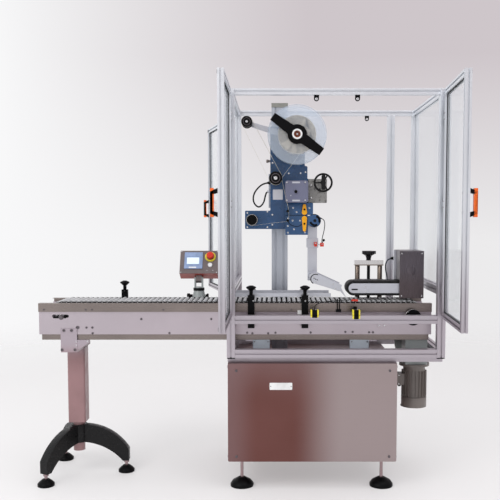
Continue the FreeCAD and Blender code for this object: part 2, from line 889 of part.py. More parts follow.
# ---------------------------------------------------------------- cabinet and feet
def make_cabinet():
    shell = make_body("cabinet_shell")
    sketch = sketch_on(shell, "XY_Plane", "cabinet_plan")
    rectangle(sketch, "0", "cabinet_wall", "cabinet_width", "cabinet_depth - cabinet_wall")
    block = pad(shell, sketch, "cabinet_block", "cabinet_top - cabinet_bottom")
    rounded(shell, block, "cabinet_corners", FreeCAD.Vector(0, 0, 1), "cabinet_corner")
    inside = sketch_on(shell, "XY_Plane", "cabinet_inside", "cabinet_wall")
    rectangle(inside, "cabinet_wall", "0", "cabinet_width - 2 * cabinet_wall",
              "cabinet_depth - cabinet_wall")
    pocket(shell, inside, "cabinet_hollow", "cabinet_top - cabinet_bottom - 2 * cabinet_wall", back=True)
    place(shell, "cabinet_left", "cabinet_front", "cabinet_bottom")

    cover = make_body("cabinet_cover")
    face = sketch_on(cover, "XZ_Plane", "cover_face")
    rectangle(face, "0", "0", "cabinet_width", "cabinet_top - cabinet_bottom")
    plate = pad(cover, face, "cover_plate", "cabinet_wall", back=True)
    rounded(cover, plate, "cover_corners", FreeCAD.Vector(0, 1, 0), "cabinet_corner")
    place(cover, "cabinet_left", "cabinet_front", "cabinet_bottom")
    keep(group("cabinet", shell, cover), "cabinet")


CABINET_FEET = [(x, y)
                for y in ("cabinet_front + foot_inset_y", "cabinet_front + cabinet_depth - foot_inset_y")
                for x in ("cabinet_left + foot_inset_x", "cabinet_left + cabinet_width - foot_inset_x")]


def leg_feet():
    feet = []
    for index in range(3):
        angle = f"(arm_turn + {120 * index})"
        feet.append((f"{LEG_X} + arm_reach * cos({angle})", f"leg_y + arm_reach * sin({angle})"))
    return feet


def make_pad(name, x, y, radius, height):
    """A levelling pad: a low rim and a waisted dome, turned about its stud."""
    body = make_body(name)
    sketch = sketch_on(body, "XZ_Plane", f"{name}_half")
    outline(sketch, [("0", "0"), (radius, "0"), (radius, "pad_rim"), (f"{radius} * 0.8", f"{height} * 0.62"),
                     ("stud_radius + 10", height), ("stud_radius + 3", height),
                     ("stud_radius + 3", f"{height} * 0.55"), ("0", f"{height} * 0.55")])
    revolved(body, sketch, f"{name}_turned")
    return place(body, x, y, "0")


def make_stud(name, x, y, pad_height, top, nut_top):
    """A threaded foot stud that stands in its pad, with a lock nut under what it carries."""
    bottom = f"{pad_height} * 0.55 + seat_gap"
    stud = rod(f"{name}_stud", "z", x, y, bottom, "stud_radius", f"{top} - ({bottom})")
    nut = doc.addObject("Part::Prism", f"{name}_nut")
    nut.Polygon = 6
    bind(nut, Circumradius="stud_radius * 1.8", Height="stud_nut_height")
    place(nut, x, y, f"{nut_top} - stud_nut_height")
    return fused(name, stud, nut)


def make_feet():
    pads = []
    studs = []
    for index, (x, y) in enumerate(CABINET_FEET):
        pads.append(make_pad(f"cabinet_pad_{index}", x, y, "pad_radius", "pad_height"))
        studs.append(make_stud(f"cabinet_stud_{index}", x, y, "pad_height", "cabinet_bottom",
                               "cabinet_bottom"))
    for index, (x, y) in enumerate(leg_feet()):
        pads.append(make_pad(f"leg_pad_{index}", x, y, "small_pad_radius", "small_pad_height"))
        studs.append(make_stud(f"leg_stud_{index}", x, y, "small_pad_height", "arm_end_bottom",
                               "arm_end_bottom"))
    keep(group("foot_pads", *pads), "foot_pads")
    keep(group("foot_studs", *studs), "foot_studs")


def make_supports():
    """Beams on the cabinet that carry the guard frame, and stands that carry the conveyor."""
    gap = "frame_bottom - cabinet_top"
    solids = []
    for index, y in enumerate(("front_beam_y", "rear_beam_y")):
        solids.append(box(f"beam_{index}", "frame_left", y, "cabinet_top", "frame_width", "beam_width", gap))
    for index, x in enumerate(("stand_first_x", "stand_second_x")):
        solids.append(conveyor_stand(f"stand_{index}", x))
    keep(group("machine_supports", *solids), "machine_supports")


def conveyor_stand(name, x):
    """A stand of I section, from the cabinet's top to the conveyor's tray."""
    body = make_body(name)
    sketch = sketch_on(body, "XZ_Plane", f"{name}_section")
    high = "(tray_bottom - cabinet_top)"
    inner = "(stand_width / 2 - stand_plate / 2)"
    outer = "(stand_width / 2 + stand_plate / 2)"
    outline(sketch, [("0", "0"), ("stand_width", "0"), ("stand_width", "stand_plate"),
                     (outer, "stand_plate"), (outer, f"{high} - stand_plate"),
                     ("stand_width", f"{high} - stand_plate"), ("stand_width", high), ("0", high),
                     ("0", f"{high} - stand_plate"), (inner, f"{high} - stand_plate"),
                     (inner, "stand_plate"), ("0", "stand_plate")])
    pad(body, sketch, f"{name}_pad", "plate_span - 2 * plate_thickness", back=True)
    return place(body, x, "conveyor_mid_y - plate_span / 2 + plate_thickness", "cabinet_top")


# ---------------------------------------------------------------- conveyor
CHAIN_RADIUS = "(chain_wrap_pitches * chain_pitch / pi)"
DRUM_Z = f"(chain_centre_top - {CHAIN_RADIUS})"
IDLER_X = "(conveyor_left + idler_from_end)"
DRIVE_X = f"({IDLER_X} + chain_top_pitches * chain_pitch)"
PLATE_FRONT = "(conveyor_mid_y - plate_span / 2)"
PLATE_BACK = "(conveyor_mid_y + plate_span / 2)"
LEG_X = "(conveyor_left + leg_from_end)"
MOTOR_X = f"({DRIVE_X} + motor_offset)"


def make_conveyor_plates():
    """Side plates with the tension slot, the drive shaft's bore and the cross bars between them."""
    solids = []
    for index, y in enumerate((PLATE_FRONT, f"{PLATE_BACK} - plate_thickness")):
        body = make_body(f"side_plate_{index}")
        face = sketch_on(body, "XZ_Plane", f"side_plate_face_{index}")
        rectangle(face, "0", "0", "conveyor_length", "plate_top - plate_bottom")
        pad(body, face, f"side_plate_pad_{index}", "plate_thickness", back=True)
        holes = sketch_on(body, "XZ_Plane", f"side_plate_holes_{index}")
        z = f"{DRUM_Z} - plate_bottom"
        circle(holes, f"{DRIVE_X} - conveyor_left", z, "shaft_radius + shaft_clearance")
        slot_radius = "(axle_radius + seat_gap)"
        left = "idler_from_end - tension_slot / 2"
        right = "idler_from_end + tension_slot / 2"
        outline(holes, [(left, f"{z} - {slot_radius}"), (right, f"{z} - {slot_radius}", slot_radius),
                        (right, f"{z} + {slot_radius}"), (left, f"{z} + {slot_radius}", slot_radius)])
        pocket(body, holes, f"side_plate_bores_{index}", "plate_thickness")
        solids.append(place(body, "conveyor_left", y, "plate_bottom"))
    for index in range(int(number("crossbar_count"))):
        x = f"conveyor_left + conveyor_length * {index + 1} / (crossbar_count + 1)"
        solids.append(rod(f"crossbar_{index}", "y", x, f"{PLATE_FRONT} + plate_thickness",
                          "plate_bottom + crossbar_rise", "crossbar_radius",
                          "plate_span - 2 * plate_thickness"))
    keep(group("conveyor_plates", *solids), "conveyor_plates")


def make_conveyor_sheets():
    """Bent trims along both top edges, and the tray under the conveyor."""
    solids = []
    high = "(trim_top - trim_bottom)"
    for index, sign in enumerate((-1, 1)):
        body = make_body(f"trim_{index}")
        section = sketch_on(body, "YZ_Plane", f"trim_section_{index}")
        points = [("0", "0"), ("0", high), ("trim_proud + trim_cover", high),
                  ("trim_proud + trim_cover", f"{high} - trim_wall"), ("trim_wall", f"{high} - trim_wall"),
                  ("trim_wall", "trim_wall"), ("trim_proud", "trim_wall"), ("trim_proud", "0")]
        if sign > 0:
            points = [(f"-({x})", z) for x, z in reversed(points)]
        outline(section, points)
        pad(body, section, f"trim_pad_{index}", "conveyor_length")
        y = f"{PLATE_FRONT} - trim_proud" if sign < 0 else f"{PLATE_BACK} + trim_proud"
        solids.append(place(body, "conveyor_left", y, "trim_bottom"))
    tray = make_body("tray")
    section = sketch_on(tray, "YZ_Plane", "tray_section")
    wide = "(plate_span - 2 * tray_inset)"
    deep = "(plate_bottom - tray_bottom)"
    outline(section, [("0", "0"), (wide, "0"), (wide, deep), (f"{wide} - tray_wall", deep),
                      (f"{wide} - tray_wall", "tray_wall"), ("tray_wall", "tray_wall"),
                      ("tray_wall", deep), ("0", deep)])
    pad(tray, section, "tray_pad", "conveyor_length - 2 * tray_end_gap")
    solids.append(place(tray, "conveyor_left + tray_end_gap", f"{PLATE_FRONT} + tray_inset", "tray_bottom"))
    keep(group("conveyor_sheets", *solids), "conveyor_sheets")


def make_roller_chain():
    """An endless chain: cross rollers on the top run and the ends, between two link strips."""
    body = make_body("chain_loop")
    half = "chain_strip_height / 2"
    run = "chain_top_pitches * chain_pitch"
    front = "(roller_length / 2 + chain_strip_width)"
    for index, plane in enumerate((front, "-roller_length / 2")):
        strip = sketch_on(body, "XZ_Plane", f"chain_strip_{index}", plane)
        for radius in (f"({CHAIN_RADIUS} + {half})", f"({CHAIN_RADIUS} - {half})"):
            outline(strip, [("0", f"-{radius}"), (run, f"-{radius}", radius), (run, radius),
                            ("0", radius, radius)])
        pad(body, strip, f"chain_strip_pad_{index}", "chain_strip_width", back=True)
    top = chain_rollers(body, "top", "0")
    pattern = body.newObject("PartDesign::LinearPattern", "chain_top_run")
    pattern.Originals = [top]
    pattern.Direction = (top.Profile[0], ["H_Axis"])
    pattern.Mode = "Spacing"
    bind(pattern, Offset="chain_pitch", Occurrences="chain_top_pitches + 1")
    body.Tip = pattern
    for name, x, turn in (("idler", "0", False), ("drive", run, True)):
        end = chain_rollers(body, name, x)
        wrap = body.newObject("PartDesign::PolarPattern", f"chain_{name}_wrap")
        wrap.Originals = [end]
        wrap.Axis = (end.Profile[0], ["N_Axis"])
        wrap.Reversed = turn
        wrap.Angle = 180
        bind(wrap, Occurrences="chain_wrap_pitches + 1")
        body.Tip = wrap
    place(body, IDLER_X, "conveyor_mid_y", DRUM_Z)
    keep(group("roller_chain", body), "roller_chain")


def chain_rollers(body, name, x):
    sketch = sketch_on(body, "XZ_Plane", f"chain_roller_{name}", "roller_length / 2")
    sketch.setExpression("AttachmentOffset.Base.x", formula(x))
    circle(sketch, "0", CHAIN_RADIUS, "roller_radius")
    roller = pad(body, sketch, f"chain_roller_{name}_pad", "roller_length", back=True)
    doc.recompute()
    return roller


def make_conveyor_shafts():
    """The driven shaft with its hand disc, and the idler that turns in the tension slots."""
    drum = f"({CHAIN_RADIUS} - roller_radius - drum_clearance)"
    drum_y = "conveyor_mid_y - drum_length / 2"
    shaft = rod("drive_core", "y", DRIVE_X, "hand_disc_y", DRUM_Z, "shaft_radius",
                f"{TRIM_BACK} - hand_disc_y - seat_gap")
    disc = rod("drive_disc", "y", DRIVE_X, "hand_disc_y", DRUM_Z, "hand_disc_radius",
               "hand_disc_thickness")
    roll = rod("drive_drum", "y", DRIVE_X, drum_y, DRUM_Z, drum, "drum_length")
    keep(fused("drive_shaft", shaft, disc, roll), "drive_shaft")

    axle = rod("idler_axle", "y", IDLER_X, f"{PLATE_FRONT} + 0.5", DRUM_Z, "axle_radius", "plate_span - 1")
    idler = rod("idler_drum", "y", IDLER_X, drum_y, DRUM_Z, drum, "drum_length")
    keep(fused("idler_shaft", axle, idler), "idler_shaft")


def make_guides():
    """Guide bars beside the bottles, held by arms in clamp blocks on the trims."""
    bars = []
    for index, y in enumerate(("front_guide_y", "rear_guide_y")):
        guide = box(f"guide_bar_{index}", "guide_left", y, "guide_bottom", "guide_length",
                    "guide_thickness", "guide_height")
        bars.append(guide)
    keep(group("guide_rails", *bars), "guide_rails")

    blocks = []
    for index, x in enumerate(("clamp_first_x", "clamp_second_x")):
        blocks.append(guide_clamp(f"clamp_front_{index}", x, -1))
        blocks.append(guide_clamp(f"clamp_rear_{index}", x, 1))
    blocks.append(guide_clamp("clamp_outer", "clamp_rear_x", 1, "clamp_rear_reach"))
    for index, (x, side) in enumerate((("clamp_first_x", -1), ("clamp_second_x", -1),
                                       ("clamp_rear_x", 1))):
        blocks.append(guide_knob(f"guide_knob_{index}", x, side))
    keep(group("guide_clamp_set", *blocks), "guide_clamps")


TRIM_FRONT = f"({PLATE_FRONT} - trim_proud)"
TRIM_BACK = f"({PLATE_BACK} + trim_proud)"


def guide_clamp(name, x, side, reach=None):
    """An upright clamp block outside the trim, with the arm that reaches in to the guide bar."""
    y = f"{TRIM_FRONT} - clamp_depth" if side < 0 else TRIM_BACK
    block = box(f"{name}_block", x, y, "clamp_bottom", "clamp_width", "clamp_depth",
                "clamp_top - clamp_bottom")
    arm_x = f"{x} + clamp_width / 2"
    arm_z = "guide_bottom + guide_height / 2"
    if side < 0:
        start = f"{y} + clamp_depth"
        end = "front_guide_y"
    else:
        start = f"({TRIM_BACK} - {reach})" if reach else "(rear_guide_y + guide_thickness)"
        end = y
    arm = rod(f"{name}_arm", "y", arm_x, start, arm_z, "guide_arm_radius", f"{end} - {start}")
    return fused(name, block, arm)


def guide_knob(name, x, side):
    """A mushroom knob on the clamp block's top."""
    y = f"{TRIM_FRONT} - clamp_depth / 2" if side < 0 else f"{TRIM_BACK} + clamp_depth / 2"
    body = make_body(name)
    sketch = sketch_on(body, "XZ_Plane", f"{name}_half")
    outline(sketch, [("0", "0"), ("knob_neck_radius", "0"), ("knob_neck_radius", "knob_height * 0.45"),
                     ("knob_head_radius", "knob_height * 0.75"),
                     ("knob_head_radius * 0.96", "knob_height * 0.86"), ("knob_neck_radius", "knob_height"),
                     ("0", "knob_height")])
    revolved(body, sketch, f"{name}_turned")
    return place(body, f"{x} + clamp_width / 2", y, "clamp_top")


# ---------------------------------------------------------------- conveyor drive
def make_drive():
    """A finned motor hanging under its gearbox, with the chain guard to the driven shaft."""
    body = make_body("motor")
    sketch = sketch_on(body, "XY_Plane", "motor_round")
    circle(sketch, "0", "0", "motor_radius")
    core = pad(body, sketch, "motor_core", "motor_top - motor_bottom")
    fin = sketch_on(body, "XY_Plane", "motor_fin", "(motor_top - motor_bottom) * 0.26")
    rectangle(fin, "motor_radius - fin_root", "-fin_thickness / 2", "motor_fin_height + fin_root",
              "fin_thickness")
    first = pad(body, fin, "motor_fin_pad", "(motor_top - motor_bottom) * 0.62")
    doc.recompute()
    fins = body.newObject("PartDesign::PolarPattern", "motor_fins")
    fins.Originals = [first]
    fins.Axis = (fin, ["N_Axis"])
    fins.Angle = 360
    bind(fins, Occurrences="motor_fin_count")
    body.Tip = fins
    cowl = sketch_on(body, "XY_Plane", "motor_cowl")
    circle(cowl, "0", "0", "motor_radius + motor_fin_height")
    pad(body, cowl, "motor_cowl_pad", "(motor_top - motor_bottom) * 0.24")
    flange = sketch_on(body, "XY_Plane", "motor_flange", "motor_top - motor_bottom")
    circle(flange, "0", "0", "motor_flange_radius")
    pad(body, flange, "motor_flange_pad", "motor_flange_thickness")
    terminal = sketch_on(body, "XY_Plane", "motor_terminal", "terminal_box_rise")
    reach = "(motor_radius + terminal_box_reach)"
    rectangle(terminal, f"-{reach}", "-terminal_box_width / 2", reach, "terminal_box_width")
    pad(body, terminal, "motor_terminal_pad", "terminal_box_height")
    place(body, MOTOR_X, "motor_y", "motor_bottom")
    keep(group("drive_motor", body), "drive_motor")

    top = "(motor_top + motor_flange_thickness)"
    gear = box("gearbox_body", f"{MOTOR_X} - gearbox_width / 2", "motor_y - gearbox_depth / 2", top,
               "gearbox_width", "gearbox_depth", f"tray_bottom - {top}")
    guard = make_body("chain_guard")
    face = sketch_on(guard, "XZ_Plane", "guard_face")
    wide = "guard_width / 2"
    low = f"({top} + guard_rise - {DRUM_Z})"
    shift = "motor_offset"
    outline(face, [(f"{shift} - {wide}", low), (f"{shift} + {wide}", low),
                   (wide, "0", wide), (f"-{wide}", "0")])
    pad(guard, face, "guard_pad", "guard_thickness", back=True)
    place(guard, DRIVE_X, f"{TRIM_BACK} + seat_gap", DRUM_Z)
    link = box("guard_link", f"{MOTOR_X} - gearbox_width / 4", "motor_y + gearbox_depth / 2",
               f"{top} + link_rise", "gearbox_width / 2",
               f"{TRIM_BACK} + seat_gap - motor_y - gearbox_depth / 2", "link_height")
    keep(group("drive_gearbox", fused("gearbox_and_link", gear, link), guard), "drive_gearbox")


# ---------------------------------------------------------------- outrigger leg
def make_leg():
    """Square leg column with a round post in it, hung from brackets on the side plates."""
    column = make_body("leg_tube_square")
    plan = sketch_on(column, "XY_Plane", "leg_plan")
    rectangle(plan, "-leg_size / 2", "-leg_size / 2", "leg_size", "leg_size")
    block = pad(column, plan, "leg_block", "leg_top - leg_bottom")
    rounded(column, block, "leg_corners", FreeCAD.Vector(0, 0, 1), "leg_corner")
    bore = sketch_on(column, "XY_Plane", "leg_bore")
    circle(bore, "0", "0", "leg_tube_radius")
    pocket(column, bore, "leg_bore_cut", "(leg_top - leg_bottom) * 0.6", back=True)
    place(column, LEG_X, "leg_y", "leg_bottom")
    post = rod("leg_post", "z", LEG_X, "leg_y", "leg_tube_bottom", "leg_tube_radius",
               "leg_bottom - leg_tube_bottom + (leg_top - leg_bottom) * 0.5")
    solids = [column, post]
    beam_y = f"{PLATE_FRONT} - leg_bracket_thickness"
    span = "(plate_span + 2 * leg_bracket_thickness)"
    x = f"{LEG_X} - leg_bracket_width / 2"
    for index, y in enumerate((beam_y, PLATE_BACK)):
        solids.append(box(f"leg_bracket_{index}", x, y, "leg_top", "leg_bracket_width",
                          "leg_bracket_thickness", "leg_bracket_top - leg_top"))
    solids.append(box("leg_beam", x, PLATE_FRONT, "leg_top", "leg_bracket_width", "plate_span",
                      "tray_bottom - leg_top"))
    keep(group("leg_column", *solids), "leg_column")


def make_tripod():
    """Cast base: a hub on the round post and three arched arms."""
    body = make_body("tripod_casting")
    hub = sketch_on(body, "XY_Plane", "tripod_hub")
    circle(hub, "0", "0", "hub_radius")
    pad(body, hub, "tripod_hub_pad", "hub_top - hub_bottom")
    arm = sketch_on(body, "XZ_Plane", "tripod_arm")
    inner = "(hub_radius * 0.5)"
    tip = "(arm_reach + stud_radius * 2)"
    outline(arm, [(inner, "0"), (inner, "hub_top - hub_bottom - 2", "-arm_reach * 1.15"),
                  (tip, "arm_end_top - hub_bottom"), (tip, "arm_end_bottom - hub_bottom"),
                  ("arm_reach - stud_radius * 2", "arm_end_bottom - hub_bottom", "arm_reach * 1.2")])
    first = pad(body, arm, "tripod_arm_pad", "arm_width", middle=True)
    doc.recompute()
    arms = body.newObject("PartDesign::PolarPattern", "tripod_arms")
    arms.Originals = [first]
    arms.Axis = (hub, ["N_Axis"])
    arms.Angle = 360
    arms.Occurrences = 3
    body.Tip = arms
    bore = sketch_on(body, "XY_Plane", "tripod_bore", "arm_end_bottom - hub_bottom")
    circle(bore, "0", "0", "leg_tube_radius")
    pocket(body, bore, "tripod_bore_cut", "hub_top - arm_end_bottom", back=True)
    place(body, "0", "0", "0")
    spin = FreeCAD.Rotation(FreeCAD.Vector(0, 0, 1), number("arm_turn"))
    base = keep(group("tripod_base", body), "tripod_base")
    place(base, LEG_X, "leg_y", "hub_bottom", spin)


# ---------------------------------------------------------------- label head
def make_column():
    """Grooved square column behind the conveyor, with its cap."""
    sketch = doc.addObject("Sketcher::SketchObject", "column_section")
    half = "column_size / 2"
    quarter = "column_size / 4"
    mouth = "slot_mouth / 2"
    side = []
    for place_at in (f"-{quarter}", quarter):
        side.append((half, f"{place_at} - {mouth}"))
        side.append((f"{half} - slot_depth", f"{place_at} - {mouth}"))
        side.append((f"{half} - slot_depth", f"{place_at} + {mouth}"))
        side.append((half, f"{place_at} + {mouth}"))
    side.append((half, half))
    points = list(side)
    points += [(f"-({y})", x) for x, y in side]
    points += [(f"-({x})", f"-({y})") for x, y in side]
    points += [(y, f"-({x})") for x, y in side]
    outline(sketch, points)
    column = bar("column_bar", sketch, "z", "column_x", "column_y", "cabinet_top",
                 "column_top - cabinet_top")
    cap = box("column_cap_block", f"column_x - {half} - 1", f"column_y - {half} - 1", "column_top",
              "column_size + 2", "column_size + 2", "column_cap")
    keep(group("head_column", column, cap), "head_column")


HEAD_BACK = "(head_front + head_depth)"
SHAFT_HOLES = (("reel_x", "reel_z", "reel_shaft_radius"),
               ("dancer_pivot_x", "dancer_pivot_z", "pin_radius_web"),
               ("web_roller_x", "web_roller_z", "pin_radius_web"),
               ("rewind_x", "rewind_z", "pin_radius_web"))


def make_head():
    """The carriage on the column, the head's casting, its drive plates, cover and lift gearbox."""
    outer = "column_size / 2 + carriage_wall"
    sleeve = box("sleeve_block", f"column_x - ({outer})", f"column_y - ({outer})", "carriage_bottom",
                 f"2 * ({outer})", f"2 * ({outer})", "carriage_height")
    block = box("carriage_arm", "column_x - column_size / 2", HEAD_BACK, "carriage_bottom", "column_size",
                f"column_y - ({outer}) - {HEAD_BACK}", "carriage_height")
    hole = box("sleeve_hole", "column_x - column_size / 2 - seat_gap",
               "column_y - column_size / 2 - seat_gap", "carriage_bottom", "column_size + 2 * seat_gap",
               "column_size + 2 * seat_gap", "carriage_height")
    keep(less("carriage", fused("carriage_solid", sleeve, block), hole), "head_carriage")

    body = make_body("casting")
    face = sketch_on(body, "XZ_Plane", "casting_face")
    foot = "head_foot_width"
    outline(face, [("-rewind_reach", "head_bottom"), (foot, "head_bottom"), (foot, "head_foot_top"),
                   ("head_waist_width", "head_foot_top"), ("head_waist_width", "head_waist_z"),
                   ("head_shoulder_width", "head_waist_z"), ("head_shoulder_width", "head_shoulder_z"),
                   ("head_top_width", "head_shoulder_z"), ("head_top_width", "head_top"),
                   ("0", "head_top"), ("0", "head_foot_top"), ("-rewind_reach", "head_foot_top")])
    block = pad(body, face, "casting_pad", "head_depth", back=True)
    rounded(body, block, "casting_rounds", FreeCAD.Vector(0, 1, 0), "casting_corner")
    holes = sketch_on(body, "XZ_Plane", "casting_holes")
    for x, z, radius in SHAFT_HOLES:
        circle(holes, f"{x} - head_left", z, f"{radius} + shaft_clearance")
    pocket(body, holes, "casting_bores", "head_depth")
    place(body, "head_left", "head_front", "0")
    keep(group("head_body", body), "head_body")
    make_drive_plates()
    make_cover()
    make_lift_box()


def make_drive_plates():
    """Web drive plate, brake plate and the nose that carries the drive roller."""
    solids = []
    for name, low, high, wide, lever_z in (
            ("drive", "drive_plate_bottom", "drive_plate_top", "drive_plate_width", "lever_upper_z"),
            ("brake", "brake_plate_bottom", "brake_plate_top", "brake_plate_width", "lever_lower_z")):
        body = make_body(f"{name}_plate")
        face = sketch_on(body, "XZ_Plane", f"{name}_face")
        rectangle(face, "0", low, wide, f"{high} - {low}")
        block = pad(body, face, f"{name}_pad", "drive_plate_depth", back=True)
        rounded(body, block, f"{name}_rounds", FreeCAD.Vector(0, 1, 0), "casting_corner / 2")
        hole = sketch_on(body, "XZ_Plane", f"{name}_hole")
        circle(hole, "lever_x - drive_plate_left", lever_z, "lever_pin_radius + shaft_clearance")
        pocket(body, hole, f"{name}_bore", "drive_plate_depth")
        solids.append(place(body, "drive_plate_left", "head_front - drive_plate_depth", "0"))
    nose = make_body("nose")
    face = sketch_on(nose, "XZ_Plane", "nose_face")
    left = "(drive_plate_left + brake_plate_width - nose_x)"
    outline(face, [(left, "-nose_radius * 0.8"), ("0", "-nose_radius", "nose_radius"),
                   ("0", "nose_radius"), (left, "nose_radius * 0.8")])
    pad(nose, face, "nose_pad", "nose_thickness", back=True)
    hole = sketch_on(nose, "XZ_Plane", "nose_hole")
    circle(hole, "0", "0", "pin_radius_web + shaft_clearance")
    pocket(nose, hole, "nose_bore", "nose_thickness")
    solids.append(place(nose, "nose_x", "nose_front", "nose_z"))
    keep(group("drive_plates", *solids), "drive_plates")

    start = "head_front + seat_gap"
    roller = rod("drive_roller_tyre", "y", "nose_x", start, "nose_z", "drive_roller_radius",
                 "drive_roller_length")
    pin = rod("drive_roller_pin", "y", "nose_x", "nose_front", "nose_z", "pin_radius_web",
              f"{start} - nose_front")
    keep(fused("drive_roller", roller, pin), "drive_roller")


def make_cover():
    """Rounded cover over the web drive's motor."""
    body = make_body("motor_cover_solid")
    face = sketch_on(body, "XZ_Plane", "motor_cover_face")
    rectangle(face, "0", "0", "cover_width", "cover_height")
    block = pad(body, face, "motor_cover_pad", "cover_depth", back=True)
    rounded(body, block, "motor_cover_rounds", FreeCAD.Vector(0, 1, 0), "cover_corner")
    knob = sketch_on(body, "XZ_Plane", "motor_cover_boss")
    circle(knob, "cover_width / 2", "cover_height / 2", "wheel_shaft")
    pad(body, knob, "motor_cover_boss_pad", "cover_boss_height")
    place(body, "cover_left", "head_front - cover_depth", "cover_bottom")
    keep(group("motor_cover", body), "motor_cover")


def make_lift_box():
    """Lift gearbox beside the casting, and the hand wheel that turns it."""
    body = make_body("lift_box_casting")
    plan = sketch_on(body, "XY_Plane", "lift_box_plan")
    front = "(lift_box_front - head_front)"
    round_x = "lift_box_width - lift_box_round"
    outline(plan, [("0", "0"), ("-lift_box_lip", "0"), ("-lift_box_lip", front),
                   (round_x, front, "lift_box_round"), ("lift_box_width", f"{front} + lift_box_round"),
                   ("lift_box_width", f"{front} + lift_box_depth"), ("0", f"{front} + lift_box_depth")])
    pad(body, plan, "lift_box_pad", "lift_box_height")
    boss = sketch_on(body, "XZ_Plane", "lift_box_boss", f"-{front}")
    x = "wheel_x - head_left - head_waist_width"
    circle(boss, x, "wheel_z - lift_box_bottom", "wheel_hub * 1.6")
    pad(body, boss, "lift_box_boss_pad", "lift_boss_height")
    hole = sketch_on(body, "XZ_Plane", "lift_box_hole", f"lift_boss_height - {front}")
    circle(hole, x, "wheel_z - lift_box_bottom", "wheel_shaft + shaft_clearance")
    pocket(body, hole, "lift_box_bore", "lift_bore_depth")
    place(body, "head_left + head_waist_width", "head_front", "lift_box_bottom")
    keep(group("lift_gearbox", body), "lift_gearbox")

    keep(make_wheel(), "hand_wheel")


def make_wheel():
    """Spoked wheel with an eight-sided rim section and a turning grip."""
    ring = make_body("wheel_ring")
    section = sketch_on(ring, "XY_Plane", "wheel_ring_section")
    middle = "(wheel_radius - wheel_rim)"
    flat = "(wheel_rim * tan(22.5))"
    near = [(f"{middle} - {flat}", "0"), (f"{middle} + {flat}", "0"),
            ("wheel_radius", f"wheel_rim - {flat}"), ("wheel_radius", f"wheel_rim + {flat}")]
    far = [(f"{middle} + {flat}", "2 * wheel_rim"), (f"{middle} - {flat}", "2 * wheel_rim"),
           (f"{middle} - wheel_rim", f"wheel_rim + {flat}"), (f"{middle} - wheel_rim", f"wheel_rim - {flat}")]
    outline(section, near + far)
    revolved(ring, section, "wheel_ring_turned")
    rim = place(ring, "wheel_x", "wheel_front", "wheel_z")
    shaft = rod("wheel_shaft_rod", "y", "wheel_x", "wheel_front", "wheel_z", "wheel_shaft",
                "lift_box_front - wheel_front + wheel_shaft_seat")
    hub = rod("wheel_hub_disc", "y", "wheel_x", "wheel_front", "wheel_z", "wheel_hub",
              "2 * wheel_rim + wheel_hub_proud")
    pieces = [rim, shaft, hub]
    for index in range(3):
        spoke = doc.addObject("Part::Cylinder", f"wheel_spoke_{index}")
        bind(spoke, Radius="wheel_rim * 0.8", Height="wheel_radius - wheel_rim")
        turn = FreeCAD.Rotation(FreeCAD.Vector(0, 1, 0), 30 + 120 * index)
        place(spoke, "wheel_x", "wheel_front + wheel_rim", "wheel_z", turn)
        pieces.append(spoke)
    grip_x = "wheel_x - (wheel_radius - wheel_rim) * cos(60)"
    grip_z = "wheel_z - (wheel_radius - wheel_rim) * sin(60)"
    pieces.append(rod("wheel_grip", "y", grip_x, "wheel_front - wheel_grip_proud", grip_z,
                      "wheel_rim * 1.4", "wheel_grip_length"))
    return fused("hand_wheel", *pieces)


def make_reel():
    """Label roll on its hub between two discs, held by a two-armed clamp."""
    back = "(reel_front + reel_disc_thickness + reel_width)"
    discs = []
    for index, y in enumerate(("reel_front", back)):
        disc = rod(f"disc_{index}", "y", "reel_x", y, "reel_z", "reel_radius", "reel_disc_thickness")
        hole = rod(f"disc_hole_{index}", "y", "reel_x", y, "reel_z", "core_radius",
                   "reel_disc_thickness")
        discs.append(less(f"reel_disc_{index}", disc, hole))
    keep(group("reel_discs", *discs), "reel_discs")

    roll_y = "(reel_front + reel_disc_thickness)"
    roll = rod("roll_solid", "y", "reel_x", roll_y, "reel_z", "roll_radius", "reel_width")
    hole = rod("roll_hole", "y", "reel_x", roll_y, "reel_z", "core_radius", "reel_width")
    keep(less("label_roll", roll, hole), "label_roll")

    clamp_front = "(reel_front - clamp_thickness)"
    drum = rod("hub_drum", "y", "reel_x", "reel_front", "reel_z", "core_radius",
               "reel_width + 2 * reel_disc_thickness")
    ring = rod("hub_ring", "y", "reel_x", f"{clamp_front} - hub_ring_proud", "reel_z", "hub_ring_radius",
               "clamp_thickness + hub_ring_proud")
    shaft = rod("hub_shaft", "y", "reel_x", f"{back} + reel_disc_thickness", "reel_z",
                "reel_shaft_radius", f"head_front - {back} - reel_disc_thickness + shaft_seat")
    bore = rod("hub_bore", "y", "reel_x", f"{clamp_front} - hub_ring_proud", "reel_z", "hub_hole_radius",
               "hub_hole_depth")
    hub = less("reel_hub", fused("hub_solid", drum, ring, shaft), bore)

    body = make_body("clamp_bar")
    face = sketch_on(body, "XZ_Plane", "clamp_hub_face")
    circle(face, "0", "0", "clamp_hub_radius")
    pad(body, face, "clamp_hub_pad", "clamp_thickness", back=True)
    arms = sketch_on(body, "XZ_Plane", "clamp_arms_face")
    far = "clamp_span / 2"
    wide = "clamp_hub_width / 2"
    end = "clamp_end_width / 2"
    outline(arms, [(f"-{far}", f"-{end}"), ("0", f"-{wide} - clamp_hub_flare"), (far, f"-{end}"), (far, end),
                   ("0", f"{wide} + clamp_hub_flare"), (f"-{far}", end)])
    block = pad(body, arms, "clamp_arms_pad", "clamp_thickness", back=True)
    hole = sketch_on(body, "XZ_Plane", "clamp_hole_face")
    circle(hole, "0", "0", "hub_ring_radius")
    pocket(body, hole, "clamp_hole", "clamp_thickness")
    turn = FreeCAD.Rotation(FreeCAD.Vector(0, 1, 0), number("clamp_turn"))
    place(body, "reel_x", clamp_front, "reel_z", turn)
    keep(group("clamp_set", body, hub), "reel_clamp")


